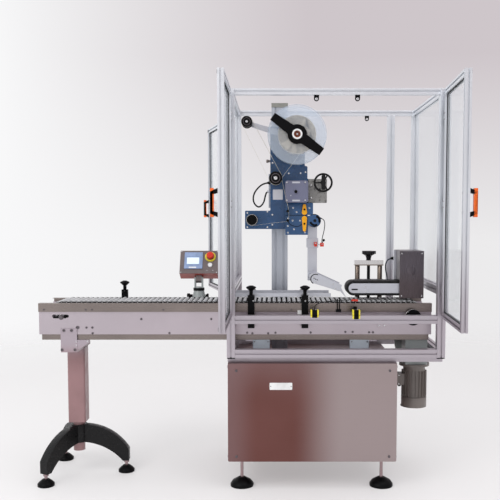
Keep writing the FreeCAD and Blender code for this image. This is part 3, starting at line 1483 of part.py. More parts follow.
def web_roller(name, label, x, z, radius, start, end, pin_end):
    """A flanged web roller with a groove at each end, turning with its pin."""
    body = make_body(name)
    half = sketch_on(body, "XY_Plane", f"{name}_half")
    long = f"({end} - {start})"
    inner = f"({radius} - roller_groove)"
    outline(half, [("0", "0"), (radius, "0"), (radius, "roller_groove * 2"), (inner, "roller_groove * 3"),
                   (inner, f"{long} - roller_groove * 3"), (radius, f"{long} - roller_groove * 2"),
                   (radius, long), ("pin_radius_web", long), ("pin_radius_web", f"{pin_end} - {start}"),
                   ("0", f"{pin_end} - {start}")])
    revolved(body, half, f"{name}_turned")
    place(body, x, start, z)
    return keep(group(f"{name}_set", body), label)


def make_web_path():
    """Dancer arm with its roller, the guide roller, the rewinding hub and the two levers."""
    arm_back = "(dancer_arm_front + dancer_arm_thickness)"
    body = make_body("dancer_lever")
    face = sketch_on(body, "XZ_Plane", "dancer_face")
    reach = "sqrt((dancer_x - dancer_pivot_x) ^ 2 + (dancer_z - dancer_pivot_z) ^ 2)"
    slim = "(dancer_arm_half * 0.8)"
    outline(face, [(reach, f"-{slim}", slim), (reach, slim), ("0", "dancer_arm_half", "dancer_arm_half"),
                   ("0", "-dancer_arm_half")])
    pad(body, face, "dancer_pad", "dancer_arm_thickness", back=True)
    hole = sketch_on(body, "XZ_Plane", "dancer_hole")
    circle(hole, reach, "0", "pin_radius_web + shaft_clearance")
    pocket(body, hole, "dancer_bore", "dancer_arm_thickness")
    pin = sketch_on(body, "XZ_Plane", "dancer_pin_face", "-dancer_arm_thickness")
    circle(pin, "0", "0", "pin_radius_web")
    pad(body, pin, "dancer_pin", f"head_front - {arm_back} + shaft_seat", back=True)
    slope = math.degrees(math.atan2(number("dancer_z - dancer_pivot_z"),
                                    number("dancer_x - dancer_pivot_x")))
    arm = keep(group("dancer_set", body), "dancer_arm")
    place(arm, "dancer_pivot_x", "dancer_arm_front", "dancer_pivot_z",
          FreeCAD.Rotation(FreeCAD.Vector(0, 1, 0), -slope))

    web_roller("dancer_wheel", "dancer_roller", "dancer_x", "dancer_z", "dancer_roller_radius",
               "roller_front", "dancer_arm_front - seat_gap", arm_back)
    seat = "head_front + shaft_seat"
    web_roller("guide_wheel", "web_roller", "web_roller_x", "web_roller_z", "web_roller_radius",
               "roller_front", "head_front - seat_gap", seat)
    web_roller("rewind_wheel", "rewind_hub", "rewind_x", "rewind_z", "rewind_radius",
               "roller_front", "head_front - seat_gap", seat)
    make_lever("lever_upper", "lever_upper_z", "lever_upper_length")
    make_lever("lever_lower", "lever_lower_z", "-lever_lower_length")


def make_lever(name, z, reach):
    """A flat lever that opens a pressure roller, on a pin in its plate."""
    plate_front = "(head_front - drive_plate_depth)"
    body = make_body(f"{name}_blade")
    face = sketch_on(body, "XZ_Plane", f"{name}_face")
    up = number(reach) > 0
    tail = [("lever_tail_radius", reach, "lever_tail_radius"), ("-lever_tail_radius", reach),
            ("-lever_hub_radius", "0", "lever_hub_radius"), ("lever_hub_radius", "0")]
    if not up:
        tail = [("-lever_tail_radius", reach, "lever_tail_radius"), ("lever_tail_radius", reach),
                ("lever_hub_radius", "0", "lever_hub_radius"), ("-lever_hub_radius", "0")]
    outline(face, tail)
    pad(body, face, f"{name}_pad", "lever_thickness", back=True)
    pin = sketch_on(body, "XZ_Plane", f"{name}_pin_face", "-lever_thickness")
    circle(pin, "0", "0", "lever_pin_radius")
    pad(body, pin, f"{name}_pin", "drive_plate_depth * 0.8", back=True)
    place(body, "lever_x", f"{plate_front} - lever_thickness - seat_gap", z)
    keep(group(f"{name}_set", body), name)


def make_dispensing_arm():
    """Column hung from the casting's foot, its clamp, and the tilted arm with the peeling blade."""
    front = f"({HEAD_BACK} + peel_bracket_thickness)"
    half = "peel_column_size / 2"
    column = box("peel_post", f"peel_column_x - {half}", front, "peel_column_bottom", "peel_column_size",
                 "peel_column_size", "peel_column_top - peel_column_bottom")
    bracket_x = "head_left + head_foot_width - peel_bracket_overlap"
    bracket = box("peel_bracket", bracket_x, HEAD_BACK, "peel_bracket_bottom",
                  f"peel_column_x + {half} - ({bracket_x})", "peel_bracket_thickness",
                  "peel_column_top - peel_bracket_bottom")
    wall = "peel_clamp_wall"
    collar = box("peel_collar_block", f"peel_column_x - {half} - {wall}", f"{front} - {wall}",
                 "peel_clamp_bottom", f"peel_column_size + 2 * {wall}", f"peel_column_size + 2 * {wall}",
                 "peel_clamp_top - peel_clamp_bottom")
    inner = box("peel_collar_hole", f"peel_column_x - {half}", front, "peel_clamp_bottom",
                "peel_column_size", "peel_column_size", "peel_clamp_top - peel_clamp_bottom")
    keep(group("peel_column", fused("peel_post_set", column, bracket),
               less("peel_collar", collar, inner)), "peel_column")

    depth = f"({front} - peel_arm_front)"
    solids = []
    for index, y in enumerate(("peel_arm_front", f"{front} - peel_plate_thickness")):
        solids.append(peel_plate(f"peel_plate_{index}", y))
    roller_y = "peel_arm_front + peel_plate_thickness"
    solids.append(rod("peel_roller", "y", "peel_end_x", roller_y, "peel_end_z", "peel_roller_radius",
                      f"{depth} - 2 * peel_plate_thickness"))
    along = "(peel_arm_length - peel_arm_tip)"
    solids.append(rod("peel_tie", "y", f"peel_end_x + {along} * cos(peel_arm_tilt)", roller_y,
                      f"peel_end_z - {along} * sin(peel_arm_tilt)", "peel_arm_tip * 0.7",
                      f"{depth} - 2 * peel_plate_thickness"))
    solids.append(peel_blade(depth))
    keep(group("peel_arm", *solids), "peel_arm")


def peel_plate(name, y):
    """Side plate of the dispensing arm: round at the top end, tapering to the blade."""
    body = make_body(name)
    face = sketch_on(body, "XZ_Plane", f"{name}_face")
    tip = "peel_arm_tip"
    outline(face, [("0", "peel_arm_radius", "peel_arm_radius"), ("0", "-peel_arm_radius"),
                   ("peel_arm_length", f"-{tip}"), ("peel_arm_length", tip)])
    pad(body, face, f"{name}_pad", "peel_plate_thickness", back=True)
    tilt = FreeCAD.Rotation(FreeCAD.Vector(0, 1, 0), number("peel_arm_tilt"))
    return place(body, "peel_end_x", y, "peel_end_z", tilt)


def peel_blade(depth):
    """Thin blade from the arm's tip down to the peeling edge."""
    body = make_body("peel_blade")
    face = sketch_on(body, "XZ_Plane", "peel_blade_face")
    root_x = "(peel_end_x + peel_arm_length * cos(peel_arm_tilt) - peel_blade_tip_x)"
    root_z = "(peel_end_z - peel_arm_length * sin(peel_arm_tilt) - peel_blade_tip_z)"
    thick = "peel_blade_thickness"
    outline(face, [("0", "0"), (f"{root_x}", f"{root_z} + 4"), (f"{root_x} - 14", f"{root_z} + 8"),
                   (f"{root_x} - {thick} * 3", f"{root_z} - {thick} * 2"), (f"-{thick}", "0")])
    pad(body, face, "peel_blade_pad", f"{depth} - 2 * peel_plate_thickness", back=True)
    return place(body, "peel_blade_tip_x", "peel_arm_front + peel_plate_thickness", "peel_blade_tip_z")


# ---------------------------------------------------------------- press belt
BELT_LEFT = "(press_left + belt_outer_radius)"
BELT_RUN = "(press_right - press_left - 2 * belt_outer_radius)"
PRESS_BACK = "(press_front + press_width)"
BELT_INSIDE = "(belt_outer_radius - belt_thickness)"


def belt_outline(sketch, radius):
    outline(sketch, [("0", f"-{radius}"), (BELT_RUN, f"-{radius}", radius), (BELT_RUN, radius),
                     ("0", radius, radius)])


def make_press():
    """Press belt on its platen, the sheet box over its drive, and the stand that it slides on."""
    belt = make_body("belt_loop")
    face = sketch_on(belt, "XZ_Plane", "belt_face")
    belt_outline(face, "belt_outer_radius")
    belt_outline(face, BELT_INSIDE)
    pad(belt, face, "belt_pad", "press_width", back=True)
    place(belt, BELT_LEFT, "press_front", "belt_centre_z")
    keep(group("press_belt", belt), "press_belt")
    make_platen()
    make_press_box()
    make_press_stand()
    make_star_knob()


def make_platen():
    """Platen inside the belt, its carriage block on the rods and the drive's web plate."""
    body = make_body("platen_core")
    face = sketch_on(body, "XZ_Plane", "platen_face")
    belt_outline(face, f"({BELT_INSIDE} - seat_gap)")
    pad(body, face, "platen_pad", "press_width", back=True)
    place(body, BELT_LEFT, "press_front", "belt_centre_z")

    block_y = "press_rod_y - press_block_depth / 2"
    high = "carriage_block_top - carriage_block_bottom"
    block = box("press_block", "top_plate_left", block_y, "carriage_block_bottom", "top_plate_width",
                "press_block_depth", high)
    arm = box("press_arm", "carriage_arm_left", PRESS_BACK, "belt_centre_z - carriage_arm_thickness / 2",
              "carriage_arm_width", f"{block_y} - {PRESS_BACK}", "carriage_arm_thickness")
    web = box("press_web", "box_left - press_web_inset", PRESS_BACK, f"belt_centre_z - {BELT_INSIDE} + 2",
              "box_width - 2 * press_web_inset", "drive_web_thickness",
              f"box_top - box_wall - belt_centre_z + {BELT_INSIDE} - 2")
    bores = []
    for name, x, radius in (("left", "press_rod_left", "press_rod_radius"),
                            ("right", "press_rod_right", "press_rod_radius"),
                            ("middle", "spindle_x", "spindle_radius")):
        bores.append(rod(f"press_bore_{name}", "z", x, "press_rod_y", "carriage_block_bottom",
                         f"{radius} + shaft_clearance", high))
    slide = less("press_slide", fused("press_slide_solid", block, arm), *bores)
    drive = make_body("press_drive_box")
    plan = sketch_on(drive, "XY_Plane", "press_drive_plan")
    rectangle(plan, "0", "0", "box_width - 2 * drive_box_inset", "drive_box_depth")
    shell = pad(drive, plan, "press_drive_pad", "box_top - drive_box_inset - drive_box_bottom")
    rounded(drive, shell, "press_drive_rounds", FreeCAD.Vector(0, 0, 1), "drive_box_corner")
    place(drive, "box_left + drive_box_inset", "box_front + box_depth", "drive_box_bottom")
    keep(group("press_platen", body, slide, web, drive), "press_platen")


def make_press_box():
    """Folded sheet box, open below, with a slot in its left side for the belt."""
    shell = box("box_shell", "box_left", "box_front", "box_bottom", "box_width", "box_depth",
                "box_top - box_bottom")
    inside = box("box_inside", "box_left + box_wall", "box_front + box_wall", "box_bottom",
                 "box_width - 2 * box_wall", "box_depth - 2 * box_wall",
                 "box_top - box_bottom - box_wall")
    slot = box("box_slot", "box_left", "press_front - box_gap", "box_bottom", "box_wall",
               "press_width + drive_web_thickness + 2 * box_gap",
               "belt_centre_z + belt_outer_radius + box_gap - box_bottom")
    web_slot = box("box_web_slot", "box_left", f"{PRESS_BACK}", "box_bottom", "box_wall",
                   "drive_web_thickness", "box_top - box_wall - box_bottom")
    keep(less("press_box", shell, inside, slot, web_slot), "press_box")


def make_press_stand():
    """Foot on the conveyor's rear plate, two guide rods and the top plate that ties them."""
    front = "(press_rod_y - press_block_depth / 2)"
    foot = box("press_foot", "top_plate_left", TRIM_BACK, "press_foot_bottom", "top_plate_width",
               f"press_rod_y + press_block_depth / 2 - {TRIM_BACK}", "press_foot_top - press_foot_bottom")
    lug = box("press_lug", "top_plate_left", PLATE_BACK, "press_foot_bottom", "top_plate_width",
              "trim_proud", "trim_bottom - press_foot_bottom")
    top = box("press_top", "top_plate_left", front, "press_rod_top", "top_plate_width",
              "press_block_depth", "top_plate_thickness")
    hole = rod("press_top_hole", "z", "spindle_x", "press_rod_y", "press_rod_top",
               "spindle_radius + shaft_clearance", "top_plate_thickness")
    solids = [fused("press_foot_set", foot, lug), less("press_top_plate", top, hole)]
    for name in ("left", "right"):
        solids.append(rod(f"press_rod_{name}_bar", "z", f"press_rod_{name}", "press_rod_y",
                          "press_foot_top", "press_rod_radius", "press_rod_top - press_foot_top"))
    keep(group("press_stand", *solids), "press_stand")


def make_star_knob():
    """Star knob on the lifting spindle."""
    body = make_body("star_knob")
    bottom = "(press_rod_top + top_plate_thickness + star_knob_rise)"
    half = sketch_on(body, "XZ_Plane", "spindle_half")
    low = f"(press_foot_top + spindle_end_gap - {bottom})"
    outline(half, [("0", low), ("spindle_radius", low), ("spindle_radius", "seat_gap - star_knob_rise"),
                   ("spindle_radius + 4", "seat_gap - star_knob_rise"), ("spindle_radius + 4", "0"),
                   ("spindle_radius + 8", "star_knob_height * 0.35"), ("star_knob_radius * 0.86",
                   "star_knob_height * 0.6"), ("star_knob_radius * 0.86", "star_knob_height"),
                   ("0", "star_knob_height")])
    revolved(body, half, "spindle_turned")
    lobe = sketch_on(body, "XY_Plane", "star_lobe", "star_knob_height * 0.6")
    circle(lobe, "star_knob_radius - star_lobe_radius", "0", "star_lobe_radius")
    first = pad(body, lobe, "star_lobe_pad", "star_knob_height * 0.4")
    doc.recompute()
    lobes = body.newObject("PartDesign::PolarPattern", "star_lobes")
    lobes.Originals = [first]
    lobes.Axis = (lobe, ["N_Axis"])
    lobes.Angle = 360
    lobes.Occurrences = 5
    body.Tip = lobes
    place(body, "spindle_x", "press_rod_y", bottom)
    keep(group("press_knob_set", body), "press_knob")


# ---------------------------------------------------------------- cables
# Each route is a list of points: straight runs between them, joined by tangent arcs.
HEAD_CABLE = [(154, -282, 1516), (126, -282, 1516), (92, -284, 1494), (66, -286, 1456), (66, -286, 1414),
              (94, -284, 1386), (120, -283, 1412), (127, -282, 1446), (135, -282, 1472), (154, -282, 1472)]
PRESS_CABLE = [(815, -150, 1120), (790, -150, 1120), (771, -152, 1096), (770, -155, 1060), (777, -158, 1028),
               (779, -162, 1002), (772, -162, 984), (755, -162, 984)]
CORNER_SHARE = 0.45


def make_cable(label, diameter, route):
    """A round cable whose arcs are as large as the two runs beside them allow."""
    points = [FreeCAD.Vector(*point) for point in route]
    edges = []
    start = points[0]
    for before, corner, after in zip(points, points[1:], points[2:]):
        arrive = (corner - before).normalize()
        leave = (after - corner).normalize()
        setback = CORNER_SHARE * min((corner - before).Length, (after - corner).Length)
        turn = arrive.getAngle(leave)
        radius = setback / math.tan(turn / 2)
        print(f"{label}: arc radius {radius:.1f}")
        first = corner - arrive * setback
        last = corner + leave * setback
        inward = (leave - arrive).normalize()
        top = corner + inward * (radius / math.cos(turn / 2) - radius)
        edges.append(Part.LineSegment(start, first).toShape())
        edges.append(Part.Arc(first, top, last).toShape())
        start = last
    edges.append(Part.LineSegment(start, points[-1]).toShape())
    path = Part.Wire(edges)
    size = number(diameter)
    section = Part.Wire([Part.makeCircle(size / 2, points[0], points[1] - points[0])])
    solid = path.makePipeShell([section], True, False)
    share = solid.Volume / (math.pi * size ** 2 / 4 * path.Length)
    print(f"{label}: length {path.Length:.1f}, volume against section times length {share:.4f}")
    item = doc.addObject("Part::Feature", label)
    item.Shape = solid
    keep(item, label)


# ---------------------------------------------------------------- operator panel
def make_operator_panel():
    """Tilting panel on a swivelling neck, with its screen and buttons."""
    arm = box("panel_arm", "panel_x - panel_base_radius", TRIM_BACK, "panel_arm_bottom",
              "2 * panel_base_radius", f"panel_y - {TRIM_BACK}", "panel_base_z - panel_arm_bottom")
    disc = rod("panel_base_disc", "z", "panel_x", "panel_y", "panel_arm_bottom", "panel_base_radius",
               "panel_base_z - panel_arm_bottom")
    socket = cone("panel_socket", "z", "panel_x", "panel_y", "panel_base_z", "panel_base_radius",
                  "panel_neck_radius + neck_flange_proud", "panel_base_height")
    bore = rod("panel_socket_bore", "z", "panel_x", "panel_y", "panel_base_z - panel_socket_depth",
               "panel_neck_radius + shaft_clearance", "panel_base_height + panel_socket_depth")
    keep(less("panel_base", fused("panel_base_solid", arm, disc, socket), bore), "panel_base")

    base_top = "(panel_base_z + panel_base_height)"
    neck = rod("neck_post", "z", "panel_x", "panel_y", "panel_base_z - panel_socket_depth",
               "panel_neck_radius", f"{base_top} + neck_top - panel_base_z + panel_socket_depth")
    flange = rod("neck_flange", "z", "panel_x", "panel_y", f"{base_top} + seat_gap",
                 "panel_neck_radius + neck_flange_proud", "neck_flange_height")
    pieces = [neck, flange]
    inner = "panel_ear_gap / 2"
    for index, x in enumerate((f"panel_x - {inner} - panel_ear_thickness", f"panel_x + {inner}")):
        pieces.append(box(f"neck_ear_{index}", x, "panel_y - panel_ear_half",
                          f"{base_top} + panel_ear_rise", "panel_ear_thickness", "2 * panel_ear_half",
                          f"panel_pivot_z + panel_ear_above_pin - {base_top} - panel_ear_rise"))
    pieces.append(rod("neck_pin", "x", f"panel_x - {inner}", "panel_y", "panel_pivot_z",
                      "panel_pin_radius", "panel_ear_gap"))
    keep(fused("panel_neck", *pieces), "panel_neck")

    tilt = FreeCAD.Rotation(FreeCAD.Vector(1, 0, 0), -number("panel_tilt"))
    make_panel_housing(tilt)
    make_panel_fittings(tilt)


PANEL_FACE = "(-panel_depth / 2)"
PANEL_TOP = "(panel_rise + panel_height)"
STOP_X = "(stop_from_left - panel_width / 2)"
STOP_Z = f"({PANEL_TOP} - stop_from_top)"
START_Z = f"({PANEL_TOP} - start_from_top)"


def on_panel(tilt, label, *solids):
    panel = keep(group(f"{label}_set", *solids), label)
    place(panel, "panel_x", "panel_y", "panel_pivot_z", tilt)


def make_panel_housing(tilt):
    """Sheet housing drawn upright, with the pin through its lug along the X axis."""
    body = make_body("panel_case")
    face = sketch_on(body, "XZ_Plane", "panel_case_face", "panel_depth / 2")
    rectangle(face, "-panel_width / 2", "panel_rise", "panel_width", "panel_height")
    block = pad(body, face, "panel_case_pad", "panel_depth", back=True)
    rounded(body, block, "panel_case_rounds", FreeCAD.Vector(0, 1, 0), "panel_corner")
    holes = sketch_on(body, "XZ_Plane", "panel_case_holes", "panel_depth / 2")
    circle(holes, STOP_X, STOP_Z, "stop_neck_radius + button_clearance")
    circle(holes, STOP_X, START_Z, "start_radius + button_clearance")
    pocket(body, holes, "panel_case_bores", "button_depth + stop_gap")
    wide = "(panel_ear_gap - 2 * seat_gap)"
    lug = box("panel_lug", f"-{wide} / 2", "-panel_ear_half", "-panel_ear_half", wide, "2 * panel_ear_half",
              "panel_ear_half + panel_rise")
    bore = rod("panel_lug_bore", "x", f"-{wide} / 2", "0", "0", "panel_pin_radius + shaft_clearance", wide)
    case = less("panel_case_set", fused("panel_case_solid", body, lug), bore)
    collar = rod("stop_collar_disc", "y", STOP_X, f"{PANEL_FACE} - stop_collar_height", STOP_Z,
                 "stop_collar_radius", "stop_collar_height")
    hole = rod("stop_collar_hole", "y", STOP_X, f"{PANEL_FACE} - stop_collar_height", STOP_Z,
               "stop_neck_radius + button_clearance", "stop_collar_height")
    on_panel(tilt, "panel_housing", case, less("stop_collar_ring", collar, hole))


def make_panel_fittings(tilt):
    """Screen, stop button with its collar, and start button, drawn on the upright panel."""
    x = "screen_from_left - panel_width / 2"
    z = f"{PANEL_TOP} - screen_from_top - screen_height"
    screen = box("screen_plate", x, f"{PANEL_FACE} - screen_thickness", z, "screen_width",
                 "screen_thickness", "screen_height")
    on_panel(tilt, "panel_screen", screen)

    body = make_body("stop_mushroom")
    half = sketch_on(body, "XY_Plane", "stop_half")
    outline(half, [("0", "-stop_height"), ("stop_radius * 0.8", "-stop_height"),
                   ("stop_radius", "-stop_height * 0.75"), ("stop_radius", "-stop_gap"),
                   ("stop_neck_radius", "-stop_gap"),
                   ("stop_neck_radius", "stop_collar_height + button_depth"),
                   ("0", "stop_collar_height + button_depth")])
    revolved(body, half, "stop_turned")
    place(body, STOP_X, f"{PANEL_FACE} - stop_collar_height", STOP_Z)
    on_panel(tilt, "stop_button", body)

    start = rod("start_cap", "y", STOP_X, f"{PANEL_FACE} - start_height", START_Z, "start_radius",
                "start_height + button_depth")
    on_panel(tilt, "start_button", start)


def main():
    fill_sheet()
    post = bar_section("post_section", "post_size")
    top = bar_section("top_rail_section", "top_rail_size")
    door = bar_section("door_section", "door_bar")
    make_frame(post, top)
    make_fixed_panels()
    make_doors(door)
    make_door_hardware()
    make_cabinet()
    make_feet()
    make_supports()
    make_conveyor_plates()
    make_conveyor_sheets()
    make_roller_chain()
    make_conveyor_shafts()
    make_guides()
    make_drive()
    make_leg()
    make_tripod()
    make_column()
    make_head()
    make_reel()
    make_web_path()
    make_dispensing_arm()
    make_press()
    make_cable("head_cable", "head_cable_diameter", HEAD_CABLE)
    make_cable("press_cable", "press_cable_diameter", PRESS_CABLE)
    make_operator_panel()
    doc.recompute()
    check_model()
    write_parts()


def check_model():
    for item in doc.Objects:
        if "Invalid" in item.State or "Error" in item.State:
            raise RuntimeError(f"{item.Name} did not build: {item.State}")
    for item in parts:
        if item.Shape.isNull() or not item.Shape.isValid():
            raise RuntimeError(f"{item.Label} has no valid shape")


def write_parts():
    os.makedirs("parts", exist_ok=True)
    for item in parts:
        item.Shape.exportStep(f"parts/{item.Label}.step")


main()
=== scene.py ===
"""Finishes, fittings and studio for the bottle labelling machine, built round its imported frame."""
import math

import bmesh
import bpy
from bpy.props import FloatProperty, FloatVectorProperty, IntProperty, PointerProperty
from mathutils import Matrix, Vector
from mathutils.bvhtree import BVHTree


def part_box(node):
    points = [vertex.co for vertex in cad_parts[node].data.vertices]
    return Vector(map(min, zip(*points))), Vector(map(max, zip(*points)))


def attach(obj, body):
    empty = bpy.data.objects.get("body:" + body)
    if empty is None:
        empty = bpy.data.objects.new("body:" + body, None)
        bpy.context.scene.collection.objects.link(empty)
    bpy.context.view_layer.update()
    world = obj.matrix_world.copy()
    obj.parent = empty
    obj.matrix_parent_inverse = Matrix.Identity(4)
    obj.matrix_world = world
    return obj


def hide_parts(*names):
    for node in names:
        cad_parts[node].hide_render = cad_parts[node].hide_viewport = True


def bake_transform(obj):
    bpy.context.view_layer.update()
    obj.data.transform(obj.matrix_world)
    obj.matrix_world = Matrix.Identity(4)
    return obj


bl_info = {
    "name": "Bottle Labelling Machine",
    "version": (1, 0, 0),
    "blender": (4, 5, 0),
    "location": "3D View > Sidebar > Labeller",
    "description": "Dresses a bottle labelling machine with its finishes and fittings",
    "category": "Add Mesh",
}

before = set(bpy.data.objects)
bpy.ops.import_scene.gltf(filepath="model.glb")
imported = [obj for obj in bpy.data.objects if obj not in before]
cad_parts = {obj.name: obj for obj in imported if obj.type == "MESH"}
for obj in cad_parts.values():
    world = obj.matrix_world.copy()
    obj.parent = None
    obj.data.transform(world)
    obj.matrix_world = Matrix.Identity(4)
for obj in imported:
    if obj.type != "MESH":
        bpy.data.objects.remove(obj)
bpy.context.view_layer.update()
MM = 0.001
X, Y, Z = Vector((1, 0, 0)), Vector((0, 1, 0)), Vector((0, 0, 1))
OUT = -Y


def span(node):
    """Lowest and highest corner of a node of the frame, in millimetres."""
    low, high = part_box(node)
    return low / MM, high / MM


def centre_of(node):
    """Middle of a node as (x, z)."""
    low, high = span(node)
    return Vector(((low.x + high.x) / 2, (low.z + high.z) / 2))


def radius_of(node):
    low, high = span(node)
    return (high.x - low.x) / 2


def heading(degrees):
    """Unit vector at an angle, as (x, z)."""
    return Vector((math.cos(math.radians(degrees)), math.sin(math.radians(degrees))))


_trees = {}


def touch(node, spot, axis):
    """Where a line through (x, z) along Y first meets a node, seen from the axis' side."""
    if node not in _trees:
        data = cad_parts[node].data
        _trees[node] = BVHTree.FromPolygons([vertex.co for vertex in data.vertices],
                                            [face.vertices for face in data.polygons])
    start = Vector((spot[0] * MM, 0, spot[1] * MM)) + axis * 5
    hit = _trees[node].ray_cast(start, -axis)[0]
    if hit is None:
        raise RuntimeError(f"{node} has no face at {spot}")
    return hit / MM - axis * 0.1


# ---------------------------------------------------------------- settings
def shade(red, green, blue, alpha=1.0):
    """A colour given in steps of 0 to 255, as scene-linear numbers."""
    def linear(step):
        share = step / 255
        return share / 12.92 if share <= 0.04045 else ((share + 0.055) / 1.055) ** 2.4
    return linear(red), linear(green), linear(blue), alpha


def colour(name, where, red, green, blue):
    return FloatVectorProperty(name=name, description=f"Colour of {where}", size=4, min=0, max=1,
                               subtype="COLOR", default=shade(red, green, blue))


def length(name, what, millimetres):
    return FloatProperty(name=name, description=what, default=millimetres * MM, min=0, unit="LENGTH")


class LabellerColours(bpy.types.PropertyGroup):
    """Colours of the machine's finishes."""
    profile: colour("Profile", "the slotted aluminium bars", 226, 229, 234)
    sheet: colour("Clear sheet", "the clear guard sheets", 232, 238, 244)
    # Painted reflection: the cabinet's reddish brown left part and greyer right part stand for what its
    # brushed steel reflects.
    cabinet: colour("Cabinet", "the cabinet's left part", 120, 82, 78)
    cabinet_right: colour("Cabinet right", "the cabinet's right part", 166, 152, 152)
    plate: colour("Side plate", "the conveyor's side plates", 190, 180, 187)
    trim: colour("Trim", "the bent conveyor trims", 138, 128, 124)
    steel: colour("Steel", "bright screws, studs and rollers", 214, 214, 216)
    leg: colour("Leg", "the leg's column", 152, 116, 118)
    motor: colour("Motor", "the conveyor motor", 112, 104, 100)
    gearbox: colour("Gearbox", "the gearboxes and the panel's foot", 150, 156, 156)
    blue: colour("Head", "the label head's enamel", 32, 76, 122)
    violet: colour("Motor cover", "the cover of the web motor", 104, 106, 130)
    iron: colour("Cast box", "the lift gearbox", 142, 140, 138)
    black: colour("Black", "moulded and rubber parts", 9, 9, 11)
    disc: colour("Reel disc", "the translucent reel discs", 208, 219, 234)
    paper: colour("Label roll", "the wound label web", 222, 212, 196)
    orange: colour("Levers", "the pressure levers", 240, 166, 30)
    handle: colour("Handles", "the door handles", 236, 104, 36)
    pale: colour("Pale metal", "the dispensing arm and its column", 202, 204, 212)
    box: colour("Press box", "the press belt's sheet box", 96, 90, 96)
    panel: colour("Panel", "the operator panel's face", 104, 92, 92)
    panel_edge: colour("Panel edge", "the panel's lower edge", 166, 58, 48)
    bezel: colour("Bezel", "the screen's bezel", 142, 160, 196)
    display: colour("Display", "the lit display", 218, 232, 244)
    red: colour("Red", "the stop button and clips", 216, 62, 46)
    yellow: colour("Yellow", "the stop collar and sensor clips", 240, 220, 60)
    white: colour("White", "the start button and bare plates", 236, 236, 236)
    core: colour("Core", "the reel's core", 128, 70, 50)


class LabellerSizes(bpy.types.PropertyGroup):
    """Sizes of the fittings that a maker would change."""
    edge: length("Edge", "Width of the broken edges on plates and bars", 0.8)
    small_screw: length("Small screw", "Head radius of the small socket screws", 4.5)
    large_screw: length("Large screw", "Head radius of the large socket screws", 8.5)
    gasket: length("Gasket", "Width of the rubber line round a clear sheet", 3)
    web: length("Web", "Width of the label web", 60)
    web_thickness: length("Web thickness", "Thickness of the label web", 0.6)
    link: length("Link", "Height of the chain's link plates", 15)
    roller_sides: IntProperty(name="Roller sides", description="Sides of each conveyor roller", default=16,
                              min=8, max=48)


class LabellerStudio(bpy.types.PropertyGroup):
    """Camera, lamps and background."""
    lens: FloatProperty(name="Lens", description="Focal length of the camera", default=55.44, unit="CAMERA")
    key: FloatProperty(name="Key lamp", description="Power of the large lamp at the front left", default=74,
                       min=0, unit="POWER")
    fill: FloatProperty(name="Fill lamp", description="Power of the lamp above", default=50, min=0,
                        unit="POWER")
    sky: FloatProperty(name="Sky", description="Strength of the even light from all sides", default=0.78,
                       min=0, subtype="FACTOR")
    left: colour("Background left", "the background's bright side", 248, 248, 249)
    right: colour("Background right", "the background's other side", 236, 235, 236)
    high: colour("Background high", "the background above", 206, 198, 202)
    floor: colour("Floor", "the studio floor", 247, 244, 245)


# ---------------------------------------------------------------- finishes
def wired(tree, kind, inputs=(), **settings):
    """Adds a shader node to a tree, with its settings, and its inputs set or linked."""
    item = tree.nodes.new(kind)
    for name, value in settings.items():
        setattr(item, name, value)
    for key, value in dict(inputs).items():
        if isinstance(value, bpy.types.NodeSocket):
            tree.links.new(value, item.inputs[key])
        else:
            item.inputs[key].default_value = value
    return item


